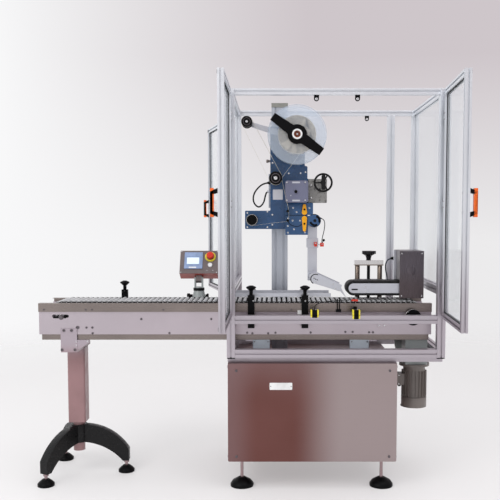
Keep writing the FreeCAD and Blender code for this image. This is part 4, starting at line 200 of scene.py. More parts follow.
class Finish:
    """One material. Fixed values sit on the shader; patterns drive colour, roughness and relief."""

    def __init__(self, name, tone, rough, metal=0.0, **sockets):
        self.material = bpy.data.materials.new(name)
        self.material.use_nodes = True
        self.tree = self.material.node_tree
        self.links = self.tree.links
        self.shader = self.tree.nodes["Principled BSDF"]
        self.tone = tuple(tone)
        self.colour = None
        self.normal = None
        self.rough = rough
        self.shader.inputs["Base Color"].default_value = self.tone
        self.shader.inputs["Roughness"].default_value = rough
        self.shader.inputs["Metallic"].default_value = metal
        for socket, value in sockets.items():
            self.shader.inputs[socket.replace("_", " ")].default_value = value
        self.spot = self.node("ShaderNodeTexCoord").outputs["Object"]

    def node(self, kind, inputs=(), **settings):
        return wired(self.tree, kind, inputs, **settings)

    def stretched(self, x=1.0, y=1.0, z=1.0):
        return self.node("ShaderNodeMapping", {"Vector": self.spot, "Scale": (x, y, z)}).outputs[0]

    def noise(self, scale, spot=None, detail=3.0):
        inputs = {"Vector": spot or self.spot, "Scale": scale, "Detail": detail}
        return self.node("ShaderNodeTexNoise", inputs).outputs["Fac"]

    def cells(self, scale, spot=None):
        inputs = {"Vector": spot or self.spot, "Scale": scale}
        return self.node("ShaderNodeTexVoronoi", inputs).outputs["Distance"]

    def rings(self, centre, axis, pitch):
        """Fine rings round an axis through a point, as turning or winding leaves them."""
        offset = self.node("ShaderNodeMapping", {"Vector": self.spot, "Location": tuple(-centre)})
        direction = {0: "X", 1: "Y", 2: "Z"}[axis]
        inputs = {"Vector": offset.outputs[0], "Scale": 1 / pitch / 3.2, "Distortion": 0.4, "Detail": 2.0,
                  "Detail Scale": 2.0}
        wave = self.node("ShaderNodeTexWave", inputs, wave_type="RINGS", rings_direction=direction)
        return wave.outputs["Fac"]

    def height(self):
        return self.node("ShaderNodeSeparateXYZ", {0: self.spot}).outputs["Z"]

    def ranged(self, value, low, high, start=0.3, end=0.7):
        inputs = {"Value": value, "From Min": start, "From Max": end, "To Min": low, "To Max": high}
        return self.node("ShaderNodeMapRange", inputs, interpolation_type="SMOOTHSTEP").outputs["Result"]

    def blend(self, share, tone):
        """Lays another colour over what is there, by a share from 0 to 1."""
        mix = self.node("ShaderNodeMix", {0: share, 6: self.colour or self.tone, 7: tuple(tone)},
                        data_type="RGBA")
        self.colour = mix.outputs[2]
        self.links.new(self.colour, self.shader.inputs["Base Color"])
        return self

    def vary(self, pattern, spread):
        """Lightens and darkens the colour by a pattern."""
        dark = [step * (1 - spread) for step in self.tone[:3]] + [1]
        light = [min(step * (1 + spread), 1) for step in self.tone[:3]] + [1]
        self.blend(self.ranged(pattern, 0.6, 0.0), dark)
        return self.blend(self.ranged(pattern, 0.0, 0.6), light)

    def wear(self, pattern, spread):
        """Varies the roughness by a pattern."""
        value = self.ranged(pattern, max(self.rough - spread, 0.02), min(self.rough + spread, 1))
        self.links.new(value, self.shader.inputs["Roughness"])
        return self

    def relief(self, pattern, height, strength=1.0):
        inputs = {"Height": pattern, "Distance": height, "Strength": strength}
        if self.normal:
            inputs["Normal"] = self.normal
        self.normal = self.node("ShaderNodeBump", inputs).outputs["Normal"]
        self.links.new(self.normal, self.shader.inputs["Normal"])
        return self


def brushed(name, tone, rough, grain, metal=1.0, spread=0.1):
    """Sheet metal whose fine scratches run along one axis."""
    finish = Finish(name, tone, rough, metal)
    scales = [900.0, 900.0, 900.0]
    scales[grain] = 8.0
    lines = finish.noise(1.0, finish.stretched(*scales), 2.0)
    finish.vary(finish.noise(5.0), spread)
    return finish.wear(lines, 0.06).relief(lines, 0.000008)


def enamel(name, tone, rough=0.38, peel=0.00004):
    """Sprayed paint with a slight orange peel and handling marks."""
    finish = Finish(name, tone, rough, 0.0, Coat_Weight=0.25, Coat_Roughness=0.2)
    finish.vary(finish.noise(9.0), 0.12)
    return finish.wear(finish.noise(30.0), 0.1).relief(finish.noise(420.0), peel)


def moulded(name, tone, rough=0.45, grain=900.0, height=0.00003, shine=0.28):
    """Moulded plastic or rubber with a fine even grain."""
    finish = Finish(name, tone, rough, Specular_IOR_Level=shine)
    finish.vary(finish.noise(14.0), 0.25)
    return finish.wear(finish.noise(60.0), 0.12).relief(finish.cells(grain), height)


def clear(name, tone, low, high, rough):
    """Clear or milky sheet: nearly open face on, denser where it is seen along its face."""
    finish = Finish(name, tone, rough, 0.0)
    facing = finish.node("ShaderNodeLayerWeight", {"Blend": 0.35}).outputs["Facing"]
    smear = finish.noise(6.0)
    density = finish.ranged(facing, low, high, 0.0, 1.0)
    finish.links.new(density, finish.shader.inputs["Alpha"])
    finish.wear(smear, rough * 0.6).vary(smear, 0.04)
    return finish


def make_finishes(colours):
    """Every finish by its name; a second tone starts at a height or across the part, in metres."""
    made = {}
    profile = Finish("anodised_profile", colours.profile, 0.36, 0.9)
    streaks = profile.noise(60.0, profile.stretched(6.0, 6.0, 1.0))
    profile.vary(profile.noise(2.2), 0.07).wear(streaks, 0.08).relief(profile.noise(700.0), 0.00002)
    # Painted reflection and shade: below 1.35 m the bars turn darker and pinker, up to a share of 0.85 at 0.8
    # m.
    painted_reflection_share = profile.ranged(profile.height(), 0.85, 0.0, 0.8, 1.35)
    profile.blend(painted_reflection_share, shade(178, 168, 176))
    made["profile"] = profile
    made["sheet"] = clear("clear_sheet", colours.sheet, 0.05, 0.34, 0.05)
    cabinet = brushed("brushed_cabinet", colours.cabinet, 0.34, 0, spread=0.04)
    across = cabinet.node("ShaderNodeSeparateXYZ", {0: cabinet.spot}).outputs["X"]
    # Painted light: the cabinet turns lighter towards its top, from 0.42 m to 0.66 m.
    cabinet.blend(cabinet.ranged(cabinet.height(), 0.0, 0.4, 0.42, 0.66), shade(150, 128, 130))
    cabinet.blend(cabinet.ranged(cabinet.noise(1.6), 0.0, 0.5, 0.35, 0.75), shade(104, 66, 60))
    # Painted reflection: a paler tone at the left edge, and the reddish brown giving way to the right colour
    # from 0.26 m to 0.52 m across.
    cabinet.blend(cabinet.ranged(across, 0.5, 0.0, -0.053, 0.1), shade(140, 118, 120))
    cabinet.blend(cabinet.ranged(across, 0.0, 1.0, 0.26, 0.52), colours.cabinet_right)
    made["cabinet"] = cabinet
    made["plate"] = brushed("brushed_side_plate", colours.plate, 0.34, 0, 0.85, 0.05)
    made["trim"] = brushed("brushed_trim", colours.trim, 0.3, 0, 0.95, 0.12)
    made["steel"] = brushed("bright_steel", colours.steel, 0.2, 1, 1.0, 0.06)
    rod = brushed("ground_rod", shade(128, 116, 106), 0.22, 2, 1.0, 0.1)
    plate_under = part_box("press_stand")[1].z - 0.022
    made["rod"] = rod.blend(rod.ranged(rod.height(), 0.0, 1.0, plate_under, plate_under + 0.001),
                            shade(216, 214, 214))
    made["stud"] = brushed("levelling_stud", shade(158, 138, 140), 0.3, 2, 1.0, 0.1)
    made["box_grey"] = enamel("junction_box", shade(176, 184, 194), 0.4)
    made["dark"] = brushed("dark_screw", shade(112, 106, 110), 0.3, 1, 1.0, 0.1)
    leg = enamel("leg_enamel", colours.leg, 0.42)
    made["leg"] = leg.blend(leg.ranged(leg.height(), 0.0, 1.0, 0.6, 0.72), shade(168, 156, 165))
    made["motor"] = enamel("motor_enamel", colours.motor, 0.45, 0.00012)
    made["gearbox"] = enamel("gearbox_enamel", colours.gearbox, 0.4, 0.0001)
    made["blue"] = enamel("head_enamel", colours.blue, 0.33)
    made["violet"] = enamel("cover_enamel", colours.violet, 0.4)
    iron = enamel("cast_box", colours.iron, 0.5, 0.0)
    iron.blend(iron.ranged(iron.noise(70.0), 0.75, 0.0, 0.32, 0.5), shade(64, 60, 58))
    made["iron"] = iron.relief(iron.cells(260.0), 0.0004).relief(iron.noise(90.0), 0.0006)
    made["black"] = moulded("moulded_black", colours.black, 0.4, shine=0.1)
    made["rubber"] = moulded("black_rubber", colours.black, 0.6, 500.0, 0.00006)
    casting = moulded("black_casting", colours.black, 0.36)
    made["casting"] = casting.relief(casting.noise(160.0), 0.0003)
    made["orange"] = moulded("lever_plastic", colours.orange, 0.35)
    made["handle"] = moulded("handle_plastic", colours.handle, 0.4)
    made["pale"] = brushed("pale_metal", colours.pale, 0.34, 2, 0.75, 0.05)
    column = brushed("column_profile", shade(186, 191, 200), 0.38, 2, 0.8, 0.06)
    cap_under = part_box("head_column")[1].z - 0.024
    made["column"] = column.blend(column.ranged(column.height(), 0.0, 1.0, cap_under, cap_under + 0.001),
                                  shade(150, 150, 144))
    box = brushed("brushed_box", colours.box, 0.32, 2, 0.9, 0.05)
    # Painted reflection and shade: the box turns darker and browner below 1.1 m, up to a share of 0.8 at 0.98
    # m.
    made["box"] = box.blend(box.ranged(box.height(), 0.8, 0.0, 0.98, 1.1), shade(92, 82, 84))
    made["panel"] = enamel("hammered_panel", colours.panel, 0.4, 0.0)
    made["panel"].relief(made["panel"].cells(210.0), 0.0005)
    made["edge"] = enamel("panel_edge", colours.panel_edge, 0.4)
    made["bezel"] = moulded("screen_bezel", colours.bezel, 0.3)
    glow = Finish("display_glass", colours.display, 0.12, 0.0, Emission_Strength=0.35,
                  Emission_Color=tuple(colours.display))
    lines = glow.node("ShaderNodeTexBrick", {"Vector": glow.stretched(90.0, 90.0, 90.0), "Scale": 1.4})
    made["display"] = glow.blend(glow.ranged(lines.outputs["Fac"], 0.0, 0.18, 0.0, 1.0),
                                 shade(150, 170, 190))
    made["red"] = moulded("gloss_red", colours.red, 0.25, 900.0, 0.00001)
    made["yellow"] = moulded("gloss_yellow", colours.yellow, 0.35)
    made["white"] = moulded("pale_plastic", colours.white, 0.35)
    made["core"] = moulded("card_core", colours.core, 0.7)
    made["disc"] = clear("reel_sheet", colours.disc, 0.24, 0.58, 0.22)
    roll_low, roll_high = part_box("label_roll")
    paper = Finish("wound_paper", colours.paper, 0.62)
    turns = paper.rings((roll_low + roll_high) / 2, 1, 0.0022)
    made["paper"] = paper.vary(turns, 0.07).vary(paper.noise(18.0), 0.05).relief(turns, 0.00015)
    web = Finish("label_web", shade(222, 216, 200), 0.4, 0.0, Transmission_Weight=0.1)
    made["web"] = web.vary(web.noise(30.0), 0.05).wear(web.noise(80.0), 0.1)
    made["cable"] = moulded("cable_skin", colours.black, 0.5)
    made["grey_cable"] = moulded("grey_cable_skin", shade(56, 62, 72), 0.5)
    made["white_roller"] = moulded("roller_plastic", shade(188, 188, 190), 0.36, 900.0, 0.00001)
    made["link"] = brushed("dark_link", shade(44, 44, 46), 0.36, 0, 0.8, 0.1)
    made["band"] = moulded("belt_rubber", shade(24, 24, 25), 0.65, 350.0, 0.0001)
    return {name: finish.material for name, finish in made.items()}


# ---------------------------------------------------------------- shapes
def facing(centre, axis):
    """A place whose own Z looks along an axis."""
    turn = Z.rotation_difference(Vector(axis)).to_matrix().to_4x4()
    return Matrix.Translation(Vector(centre)) @ turn


def rounded(width, height, radius, steps=4):
    """Outline of a rectangle with rounded corners, about its middle."""
    points = []
    for quarter, (side, up) in enumerate(((1, 1), (-1, 1), (-1, -1), (1, -1))):
        for step in range(steps + 1):
            angle = math.radians(90 * (quarter + step / steps))
            points.append((side * (width / 2 - radius) + radius * math.cos(angle),
                           up * (height / 2 - radius) + radius * math.sin(angle)))
    return points


def band(outer, inner, first, last, step, across=0.0):
    """Outline of a stretch of a ring between two angles in degrees, moved across by a distance."""
    spots = [heading(angle) * outer for angle in range(first, last + 1, step)]
    spots += [heading(angle) * inner for angle in range(last, first - 1, -step)]
    return [(across + spot.x, spot.y) for spot in spots]


class Form:
    """The faces of one piece, drawn in millimetres; finish is the number of the material in use."""

    def __init__(self):
        self.mesh = bmesh.new()
        self.finish = 0

    def add(self, points, loops):
        corners = [self.mesh.verts.new(point) for point in points]
        for loop in loops:
            face = self.mesh.faces.new([corners[index] for index in loop])
            face.material_index = self.finish
        return corners

    def block(self, low, high):
        points = [(x, y, z) for x in (low[0], high[0]) for y in (low[1], high[1]) for z in (low[2], high[2])]
        loops = ((0, 1, 3, 2), (4, 6, 7, 5), (0, 4, 5, 1), (2, 3, 7, 6), (0, 2, 6, 4), (1, 5, 7, 3))
        self.add(points, loops)

    def prism(self, centre, axis, outline, depth):
        """An outline drawn across an axis and drawn out along it."""
        self.drawn_out(facing(centre, axis), outline, depth)

    def drawn_out(self, place, outline, depth):
        """An outline in a place's own X and Y, drawn out along its Z."""
        count = len(outline)
        points = [place @ Vector((u, v, level)) for level in (0, depth) for u, v in outline]
        loops = [tuple(range(count - 1, -1, -1)), tuple(range(count, 2 * count))]
        loops += [(i, (i + 1) % count, count + (i + 1) % count, count + i) for i in range(count)]
        self.add(points, loops)

    def turned(self, centre, axis, profile, steps=28, closed=False):
        """A profile of (radius, place along the axis) turned about the axis."""
        place = facing(centre, axis)
        rows = []
        for radius, along in profile:
            if radius < 1e-6:
                rows.append([self.mesh.verts.new(place @ Vector((0, 0, along)))])
                continue
            ring = [heading(360 * step / steps) * radius for step in range(steps)]
            rows.append([self.mesh.verts.new(place @ Vector((u, v, along))) for u, v in ring])
        pairs = list(zip(rows, rows[1:])) + ([(rows[-1], rows[0])] if closed else [])
        for low, high in pairs:
            for step in range(steps):
                after = (step + 1) % steps
                corners = [low[step % len(low)], low[after % len(low)],
                           high[after % len(high)], high[step % len(high)]]
                unique = list(dict.fromkeys(corners))
                if len(unique) > 2:
                    self.mesh.faces.new(unique).material_index = self.finish

    def rod(self, start, end, radius, steps=16):
        along = Vector(end) - Vector(start)
        reach = along.length
        edge = min(radius, reach) * 0.12
        self.turned(start, along.normalized(), [(0, 0), (radius - edge, 0), (radius, edge),
                                                (radius, reach - edge), (radius - edge, reach), (0, reach)],
                    steps)

    def screw(self, spot, axis, radius):
        """A socket screw's head on a surface."""
        self.turned(spot, axis, [(radius, 0), (radius, radius * 0.55), (radius * 0.88, radius * 0.7),
                                 (radius * 0.52, radius * 0.7), (radius * 0.46, radius * 0.25),
                                 (0, radius * 0.25)], 14)

    def sunk_screw(self, spot, axis, radius, dark):
        """A countersunk screw, flush with the surface; its socket takes the finish numbered dark, a flat disc
        of painted shade in place of a recess.
        """
        self.turned(spot, axis, [(radius, 0), (radius, 0.14), (radius - 0.2, 0.22), (0, 0.22)], 18)
        finish, self.finish = self.finish, dark
        self.turned(spot, axis, [(radius * 0.48, 0.2), (radius * 0.48, 0.26), (0, 0.26)], 6)
        self.finish = finish

    def screws(self, node, spots, radius):
        """Socket screws on a node's front, at places (x, z)."""
        for spot in spots:
            self.screw(touch(node, spot, OUT), OUT, radius)

    def strip(self, rows):
        """Skins rows of points into a closed run with flat ends."""
        rows = [[self.mesh.verts.new(point) for point in row] for row in rows]
        for near, far in zip(rows, rows[1:]):
            for step in range(len(near)):
                after = (step + 1) % len(near)
                face = self.mesh.faces.new((near[step], near[after], far[after], far[step]))
                face.material_index = self.finish
        for row in (rows[0][::-1], rows[-1]):
            self.mesh.faces.new(row).material_index = self.finish

    def tube(self, points, radius, steps=10):
        """A round wire through points."""
        points = [Vector(point) for point in points]
        side = None
        rows = []
        for index, point in enumerate(points):
            ahead = points[min(index + 1, len(points) - 1)] - points[max(index - 1, 0)]
            ahead.normalize()
            side = side or ahead.orthogonal()
            side = (side - ahead * side.dot(ahead)).normalized()
            other = ahead.cross(side)
            turns = [heading(360 * step / steps) * radius for step in range(steps)]
            rows.append([point + side * u + other * v for u, v in turns])
        self.strip(rows)

    def ribbon(self, points, low, high, thickness):
        """A thin web that follows points (x, z) and spans low to high along Y."""
        rows = []
        for index, point in enumerate(points):
            ahead = points[min(index + 1, len(points) - 1)] - points[max(index - 1, 0)]
            ahead.normalize()
            across = Vector((-ahead.y, ahead.x)) * thickness / 2
            corners = ((point - across, low), (point + across, low), (point + across, high),
                       (point - across, high))
            rows.append([(flat.x, y, flat.y) for flat, y in corners])
        self.strip(rows)

    def moved(self, place):
        bmesh.ops.transform(self.mesh, matrix=place, verts=self.mesh.verts)
        return self


def build(name, form, body, finishes, edge=0.0):
    """Makes a piece of the object from a form and fixes it to a body of the frame."""
    bmesh.ops.scale(form.mesh, vec=(MM, MM, MM), verts=form.mesh.verts)
    bmesh.ops.recalc_face_normals(form.mesh, faces=form.mesh.faces)
    data = bpy.data.meshes.new(name)
    form.mesh.to_mesh(data)
    form.mesh.free()
    for finish in finishes:
        data.materials.append(MATERIALS[finish])
    data.shade_smooth()
    data.set_sharp_from_angle(angle=math.radians(34))
    piece = bpy.data.objects.new(name, data)
    bpy.context.scene.collection.objects.link(piece)
    if edge:
        soften(piece, edge * MM)
    if body:
        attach(piece, body)
    return piece


def soften(piece, width):
    bevel = piece.modifiers.new("broken_edges", "BEVEL")
    bevel.width = width
    bevel.segments = 2
    bevel.limit_method = "ANGLE"
    bevel.angle_limit = math.radians(40)
    bevel.harden_normals = True


def finish_node(node, finish, edge=0.0):
    """Gives a node of the frame its finish, and a fine broken edge."""
    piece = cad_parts[node]
    piece.data.materials.clear()
    piece.data.materials.append(MATERIALS[finish])
    if edge:
        weld = piece.modifiers.new("joined", "WELD")
        weld.merge_threshold = 0.00002
        flat = piece.modifiers.new("flat_faces", "DECIMATE")
        flat.decimate_type = "DISSOLVE"
        flat.angle_limit = math.radians(0.6)
        soften(piece, edge)


MATERIALS = {}


class Work:
    """Settings and steps that the machine's operators share."""
    bl_options = {"REGISTER", "UNDO"}
    EDGED, PLAIN = {}, {}

    @property
    def sizes(self):
        return bpy.context.scene.labeller_sizes

    def dress(self):
        """Gives the operator's nodes their finishes, the edged ones with fine broken edges."""
        for node, finish in self.EDGED.items():
            finish_node(node, finish, self.sizes.edge)
        for node, finish in self.PLAIN.items():
            finish_node(node, finish)


# ---------------------------------------------------------------- guard
class LABELLER_OT_guard(Work, bpy.types.Operator):
    """Finish the slotted frame and add its post caps, magnet catches and rail clips"""
    bl_idname = "labeller.guard"
    bl_label = "Guard Frame"

    EDGED = {"frame_posts": "profile", "frame_rails": "profile", "door_hardware": "black"}
    PLAIN = {"fixed_panels": "sheet"}
    BAR, CAP = 40, 38
    CATCHES = ((376, 1902), (572, 1902), (707, 1902))
    CLIPS = ((350.5, 389.5, 854, 892), (553, 590, 847, 892))  # left, right, bottom, top
    RAIL_TOP, TONGUE_TOP, JAW = 864.2, 867, 7

    def execute(self, context):
        self.dress()
        low, high = span("frame_posts")
        self.post_caps(low, high)
        self.catch_magnets()
        self.rail_clips(low.y)
        return {"FINISHED"}

    def post_caps(self, low, high):
        form = Form()
        for x in (low.x + self.BAR / 2, high.x - self.BAR / 2):
            for y in (low.y + self.BAR / 2, high.y - self.BAR / 2):
                form.prism((x, y, low.z - 5), Z, rounded(self.CAP, self.CAP, 5), 5.2)
        build("post_caps", form, "machine", ["black"])

    def catch_magnets(self):
        form = Form()
        profile = [(6.5, 0), (6.5, 0.3), (5.8, 0.6), (2.4, 0.6), (2, 0.2), (0, 0.2)]
        for spot in self.CATCHES:
            form.turned(touch("door_hardware", spot, OUT), OUT, profile, 24)
        build("catch_magnets", form, "machine", ["steel"])

    def rail_clips(self, front):
        """Black clips on the top of the front rail, each with yellow jaws and a thin front tongue."""
        form = Form()
        for left, right, bottom, top in self.CLIPS:
            middle, height = (left + right) / 2, (self.RAIL_TOP + top) / 2
            tall, core = top - self.RAIL_TOP, right - left - 2 * self.JAW
            form.finish = 0
            form.prism((middle, front - 2.6, height), Y, rounded(core, tall, 3), 30)
            form.prism((middle, front + 0.2, (bottom + self.TONGUE_TOP) / 2), OUT,
                       rounded(core, self.TONGUE_TOP - bottom, 2), 2.8)
            form.finish = 1
            for x in (left + self.JAW / 2, right - self.JAW / 2):
                form.prism((x, front - 2.2, height), Y, rounded(self.JAW, tall, 2.5), 26)
                form.prism((x, front + 0.2, (bottom + self.TONGUE_TOP + 2) / 2), OUT,
                           rounded(self.JAW, self.TONGUE_TOP - 2 - bottom, 2), 2.4)
            form.finish = 2
            form.screw((middle + 6, front + 12, top - 0.1), Z, 3)
        build("rail_clips", form, "machine", ["black", "yellow", "steel"], 0.5)


class LABELLER_OT_doors(Work, bpy.types.Operator):
    """Finish the three doors and add their gaskets, screws, corner caps and handle grips"""
    bl_idname = "labeller.doors"
    bl_label = "Doors"

    # Body, hinge pin (x, y), angle at rest, the door's way from the pin, its reach, its outer side.
    DOORS = (("door_left", (-43, -590), -90, 1, 514, -1), ("door_right", (991, -590), 87, -1, 514, -1),
             ("rear_door", (-43, 246), 105, 1, 888, 1))
    BAR, PIN_GAP = 28, 9
    BOTTOM, TOP, HANDLE = 858, 1944, 1399
    HINGES = (988, 1401, 1814)

    def execute(self, context):
        for body, pin, angle, way, reach, face in self.DOORS:
            finish_node(f"{body}_frame", "profile", self.sizes.edge)
            finish_node(f"{body}_panel", "sheet")
            finish_node(f"{body}_handle", "black", self.sizes.edge)
            place = Matrix.Translation((pin[0], pin[1], 0)) @ Matrix.Rotation(math.radians(angle), 4, "Z")
            self.gasket(body, place, way, reach)
            self.fittings(body, place, way, reach, face)
            grip = Form()
            grip.prism((way * (reach - self.BAR / 2), face * 45.8, self.HANDLE), Y * -face,
                       rounded(26, 119, 2.5), 15)
            build(f"{body}_grip", grip.moved(place), body, ["handle"], 0.8)
        return {"FINISHED"}

    def gasket(self, body, place, way, reach):
        """Rubber lines round the sheet, on both of its faces."""
        width = self.sizes.gasket / MM
        low, high = self.BOTTOM + self.BAR, self.TOP - self.BAR
        left, right = sorted((way * (self.PIN_GAP + self.BAR), way * (reach - self.BAR)))
        form = Form()
        for near, far in ((-6.5, -3.0), (3.0, 6.5)):
            form.block((left, near, low), (left + width, far, high))
            form.block((right - width, near, low), (right, far, high))
            form.block((left + width, near, low), (right - width, far, low + width))
            form.block((left + width, near, high - width), (right - width, far, high))
        build(f"{body}_gasket", form.moved(place), body, ["rubber"])

    def fittings(self, body, place, way, reach, face):
        """Screws of the hinges and the handle inside, and caps on the bars' corners outside."""
        form = Form()
        outward = Y * face
        half = self.BAR / 2
        inside, outside = -face * (half - 0.1), face * (half - 0.1)
        for height in self.HINGES:
            for across in (16, 30):
                for up in (-14, 14):
                    form.screw((way * across, inside, height + up), -outward, 4)
        for up in (-40, 40):
            form.screw((way * (reach - half), inside, self.HANDLE + up), -outward, 5)
        form.finish = 1
        for height in (self.BOTTOM + half, self.TOP - half):
            for across in (self.PIN_GAP + half, reach - half):
                form.prism((way * across, outside, height), outward, rounded(17, 17, 3), 1.6)
        build(f"{body}_fittings", form.moved(place), body, ["steel", "black"])


# ---------------------------------------------------------------- cabinet and feet
class LABELLER_OT_cabinet(Work, bpy.types.Operator):
    """Finish the cabinet and add its screws, front lip, blank plate, and rear doors with vents"""
    bl_idname = "labeller.cabinet"
    bl_label = "Cabinet"

    EDGED = {"cabinet": "cabinet", "machine_supports": "profile", "foot_pads": "black"}
    PLAIN = {"foot_studs": "stud"}
    PLATE_ACROSS, PLATE_DOWN = 260, 113
    VENTS, VENT_PITCH, LOWEST_VENT = 9, 13, 90

    def execute(self, context):
        self.dress()
        low, high = span("cabinet")
        self.front(low, high)
        self.back(low, high)
        self.side(low, high)
        return {"FINISHED"}

    def front(self, low, high):
        form = Form()
        for x in (low.x + 42, high.x - 36):
            for z in (low.z + 26, high.z - 36):
                form.screw((x, low.y + 0.1, z), OUT, 6.5)
        form.finish = 1
        form.prism(((low.x + high.x) / 2, low.y + 0.1, high.z - 13), OUT,
                   rounded(high.x - low.x - 2, 24, 1), 1.6)
        form.finish = 2
        x, z = low.x + self.PLATE_ACROSS, high.z - self.PLATE_DOWN
        form.prism((x, low.y + 0.1, z), OUT, rounded(111, 35, 3), 1.6)
        form.finish = 0
        for side in (-50, 50):
            form.screw((x + side, low.y - 1.4, z), OUT, 2.2)
        build("cabinet_front_fittings", form, "machine", ["dark", "cabinet", "white"], 0.3)

    def back(self, low, high):
        form = Form()
        half, level = (high.x - low.x) / 2, (low.z + high.z) / 2
        for side in (-1, 1):
            centre = low.x + half + side * half / 2
            lock = centre - side * (half / 2 - 37)
            form.finish = 0
            form.prism((centre, high.y - 0.1, level), Y, rounded(half - 22, high.z - low.z - 44, 8), 2.6)
            form.finish = 1
            form.turned((lock, high.y + 2.4, level), Y, [(0, 7), (9, 7), (11, 5), (11, 0)], 20)
            form.block((lock - 1.2, high.y + 9.3, level - 6), (lock + 1.2, high.y + 9.8, level + 6))
            # Painted shade: each vent is a thin black bar on the door, in place of the shade in its opening.
            form.finish = 2
            for row in range(self.VENTS):
                form.prism((centre, high.y + 2.4, low.z + self.LOWEST_VENT + row * self.VENT_PITCH), Y,
                           rounded(150, 5, 2.4), 1.2)
        build("cabinet_rear_doors", form, "machine", ["cabinet", "steel", "black"], 0.4)

    def side(self, low, high):
        form = Form()
        for x, axis in ((low.x, -X), (high.x, X)):
            for y in (low.y + 20, high.y - 20):
                for z in (low.z + 20, high.z - 20):
                    form.screw((x - axis.x * 0.1, y, z), axis, 6)
        build("cabinet_side_screws", form, "machine", ["steel"])


# ---------------------------------------------------------------- conveyor
class LABELLER_OT_conveyor(Work, bpy.types.Operator):
    """Finish the conveyor bed and add its screws, slots, bearing plates and hand disc"""
    bl_idname = "labeller.conveyor"
    bl_label = "Conveyor Bed"

    EDGED = {"conveyor_plates": "plate", "conveyor_sheets": "trim", "drive_shaft": "steel",
             "idler_shaft": "steel"}
    SCREWS = ((-764.2, 789.4), (-734.8, 789.4), (-733.9, 760.4), (-349.8, 761.8), (-489.6, 832.2),
              (-140.3, 832.2), (38.9, 763.6), (64.9, 760.5), (144.1, 760.5), (180.5, 763.6),
              (356.5, 764.4), (529.8, 767.6), (566.2, 767.6), (648.4, 765.7), (667.6, 765.7))
    LARGE_SCREW, SLOT, TENSIONER, MARK = (-808.8, 789.4), (-897, 841), (-890, 841.2), (-807.9, 837.7)
    TRIM_SCREWS, TRIM_LEVEL = (-972, -763.8, -733.1, -378.1, -60, 260, 560), 880.4
    DISC_LEVEL = 846.3
    BEARING, BEARING_SCREWS = (709.5, 838), ((695.2, 874), (723.8, 874), (696, 800.5), (724.7, 800.5))

    def execute(self, context):
        self.dress()
        low, high = span("conveyor_plates")
        self.side_screws("front", low.y, OUT)
        self.side_screws("rear", high.y, Y)
        self.trim_screws()
        self.bearing_plates(low.y, high.y)
        self.hand_disc()
        return {"FINISHED"}

    def side_screws(self, name, face, axis):
        """Screws, the chain tensioner in its slot and a faint square mark on one side plate."""
        form = Form()
        sunk = face - axis.y * 0.1
        for x, z in self.SCREWS:
            form.screw((x, sunk, z), axis, self.sizes.small_screw / MM * 1.25)
        x, z = self.LARGE_SCREW
        form.screw((x, sunk, z), axis, self.sizes.large_screw / MM)
        x, z = self.TENSIONER
        form.turned((x, face, z), axis, [(13, 0), (13, 1.8), (9, 2), (9, 8), (8, 9), (0, 9)], 24)
        form.finish = 1
        # Painted shade: the slot is a thin black plate on the side plate, in place of the shade in its
        # opening.
        x, z = self.SLOT
        form.prism((x, sunk, z), axis, rounded(68, 11, 5.4), 0.7)
        form.finish = 2
        x, z = self.MARK
        form.prism((x, sunk, z), axis, rounded(22, 22, 2), 0.5)
        build(f"conveyor_{name}_screws", form, "machine", ["dark", "black", "plate"])

    def trim_screws(self):
        low, high = span("conveyor_sheets")
        form = Form()
        for x in self.TRIM_SCREWS:
            for face, axis in ((low.y + 0.1, OUT), (high.y - 0.1, Y)):
                form.screw((x, face, self.TRIM_LEVEL), axis, self.sizes.small_screw / MM)
        build("conveyor_trim_screws", form, "machine", ["dark"])

    def bearing_plates(self, front, rear):
        """The separate plates that carry the driven shaft's bearings."""
        form = Form()
        for face, axis in ((front, OUT), (rear, Y)):
            form.finish = 0
            form.prism((self.BEARING[0], face - axis.y * 0.1, self.BEARING[1]), axis, rounded(44, 92, 3), 4)
            form.finish = 1
            for x, z in self.BEARING_SCREWS:
                form.screw((x, face + axis.y * 3.9, z), axis, 4.6)
        build("end_plates", form, "machine", ["plate", "steel"], 0.5)

    def hand_disc(self):
        centre = (centre_of("drive_shaft").x, span("drive_shaft")[0].y + 0.2, self.DISC_LEVEL)
        form = Form()
        form.turned(centre, OUT, [(39, 0), (39.8, 0.8), (39.8, 3), (38.6, 4), (30, 4), (28, 2.6), (14, 2.6),
                                  (12, 4), (0, 4)], 56)
        form.finish = 1
        form.turned(centre, OUT, [(7, 0), (7, 5.6), (5.5, 7), (0, 7)], 18)
        build("hand_disc", form, "drive_shaft", ["black", "steel"], 0.5)


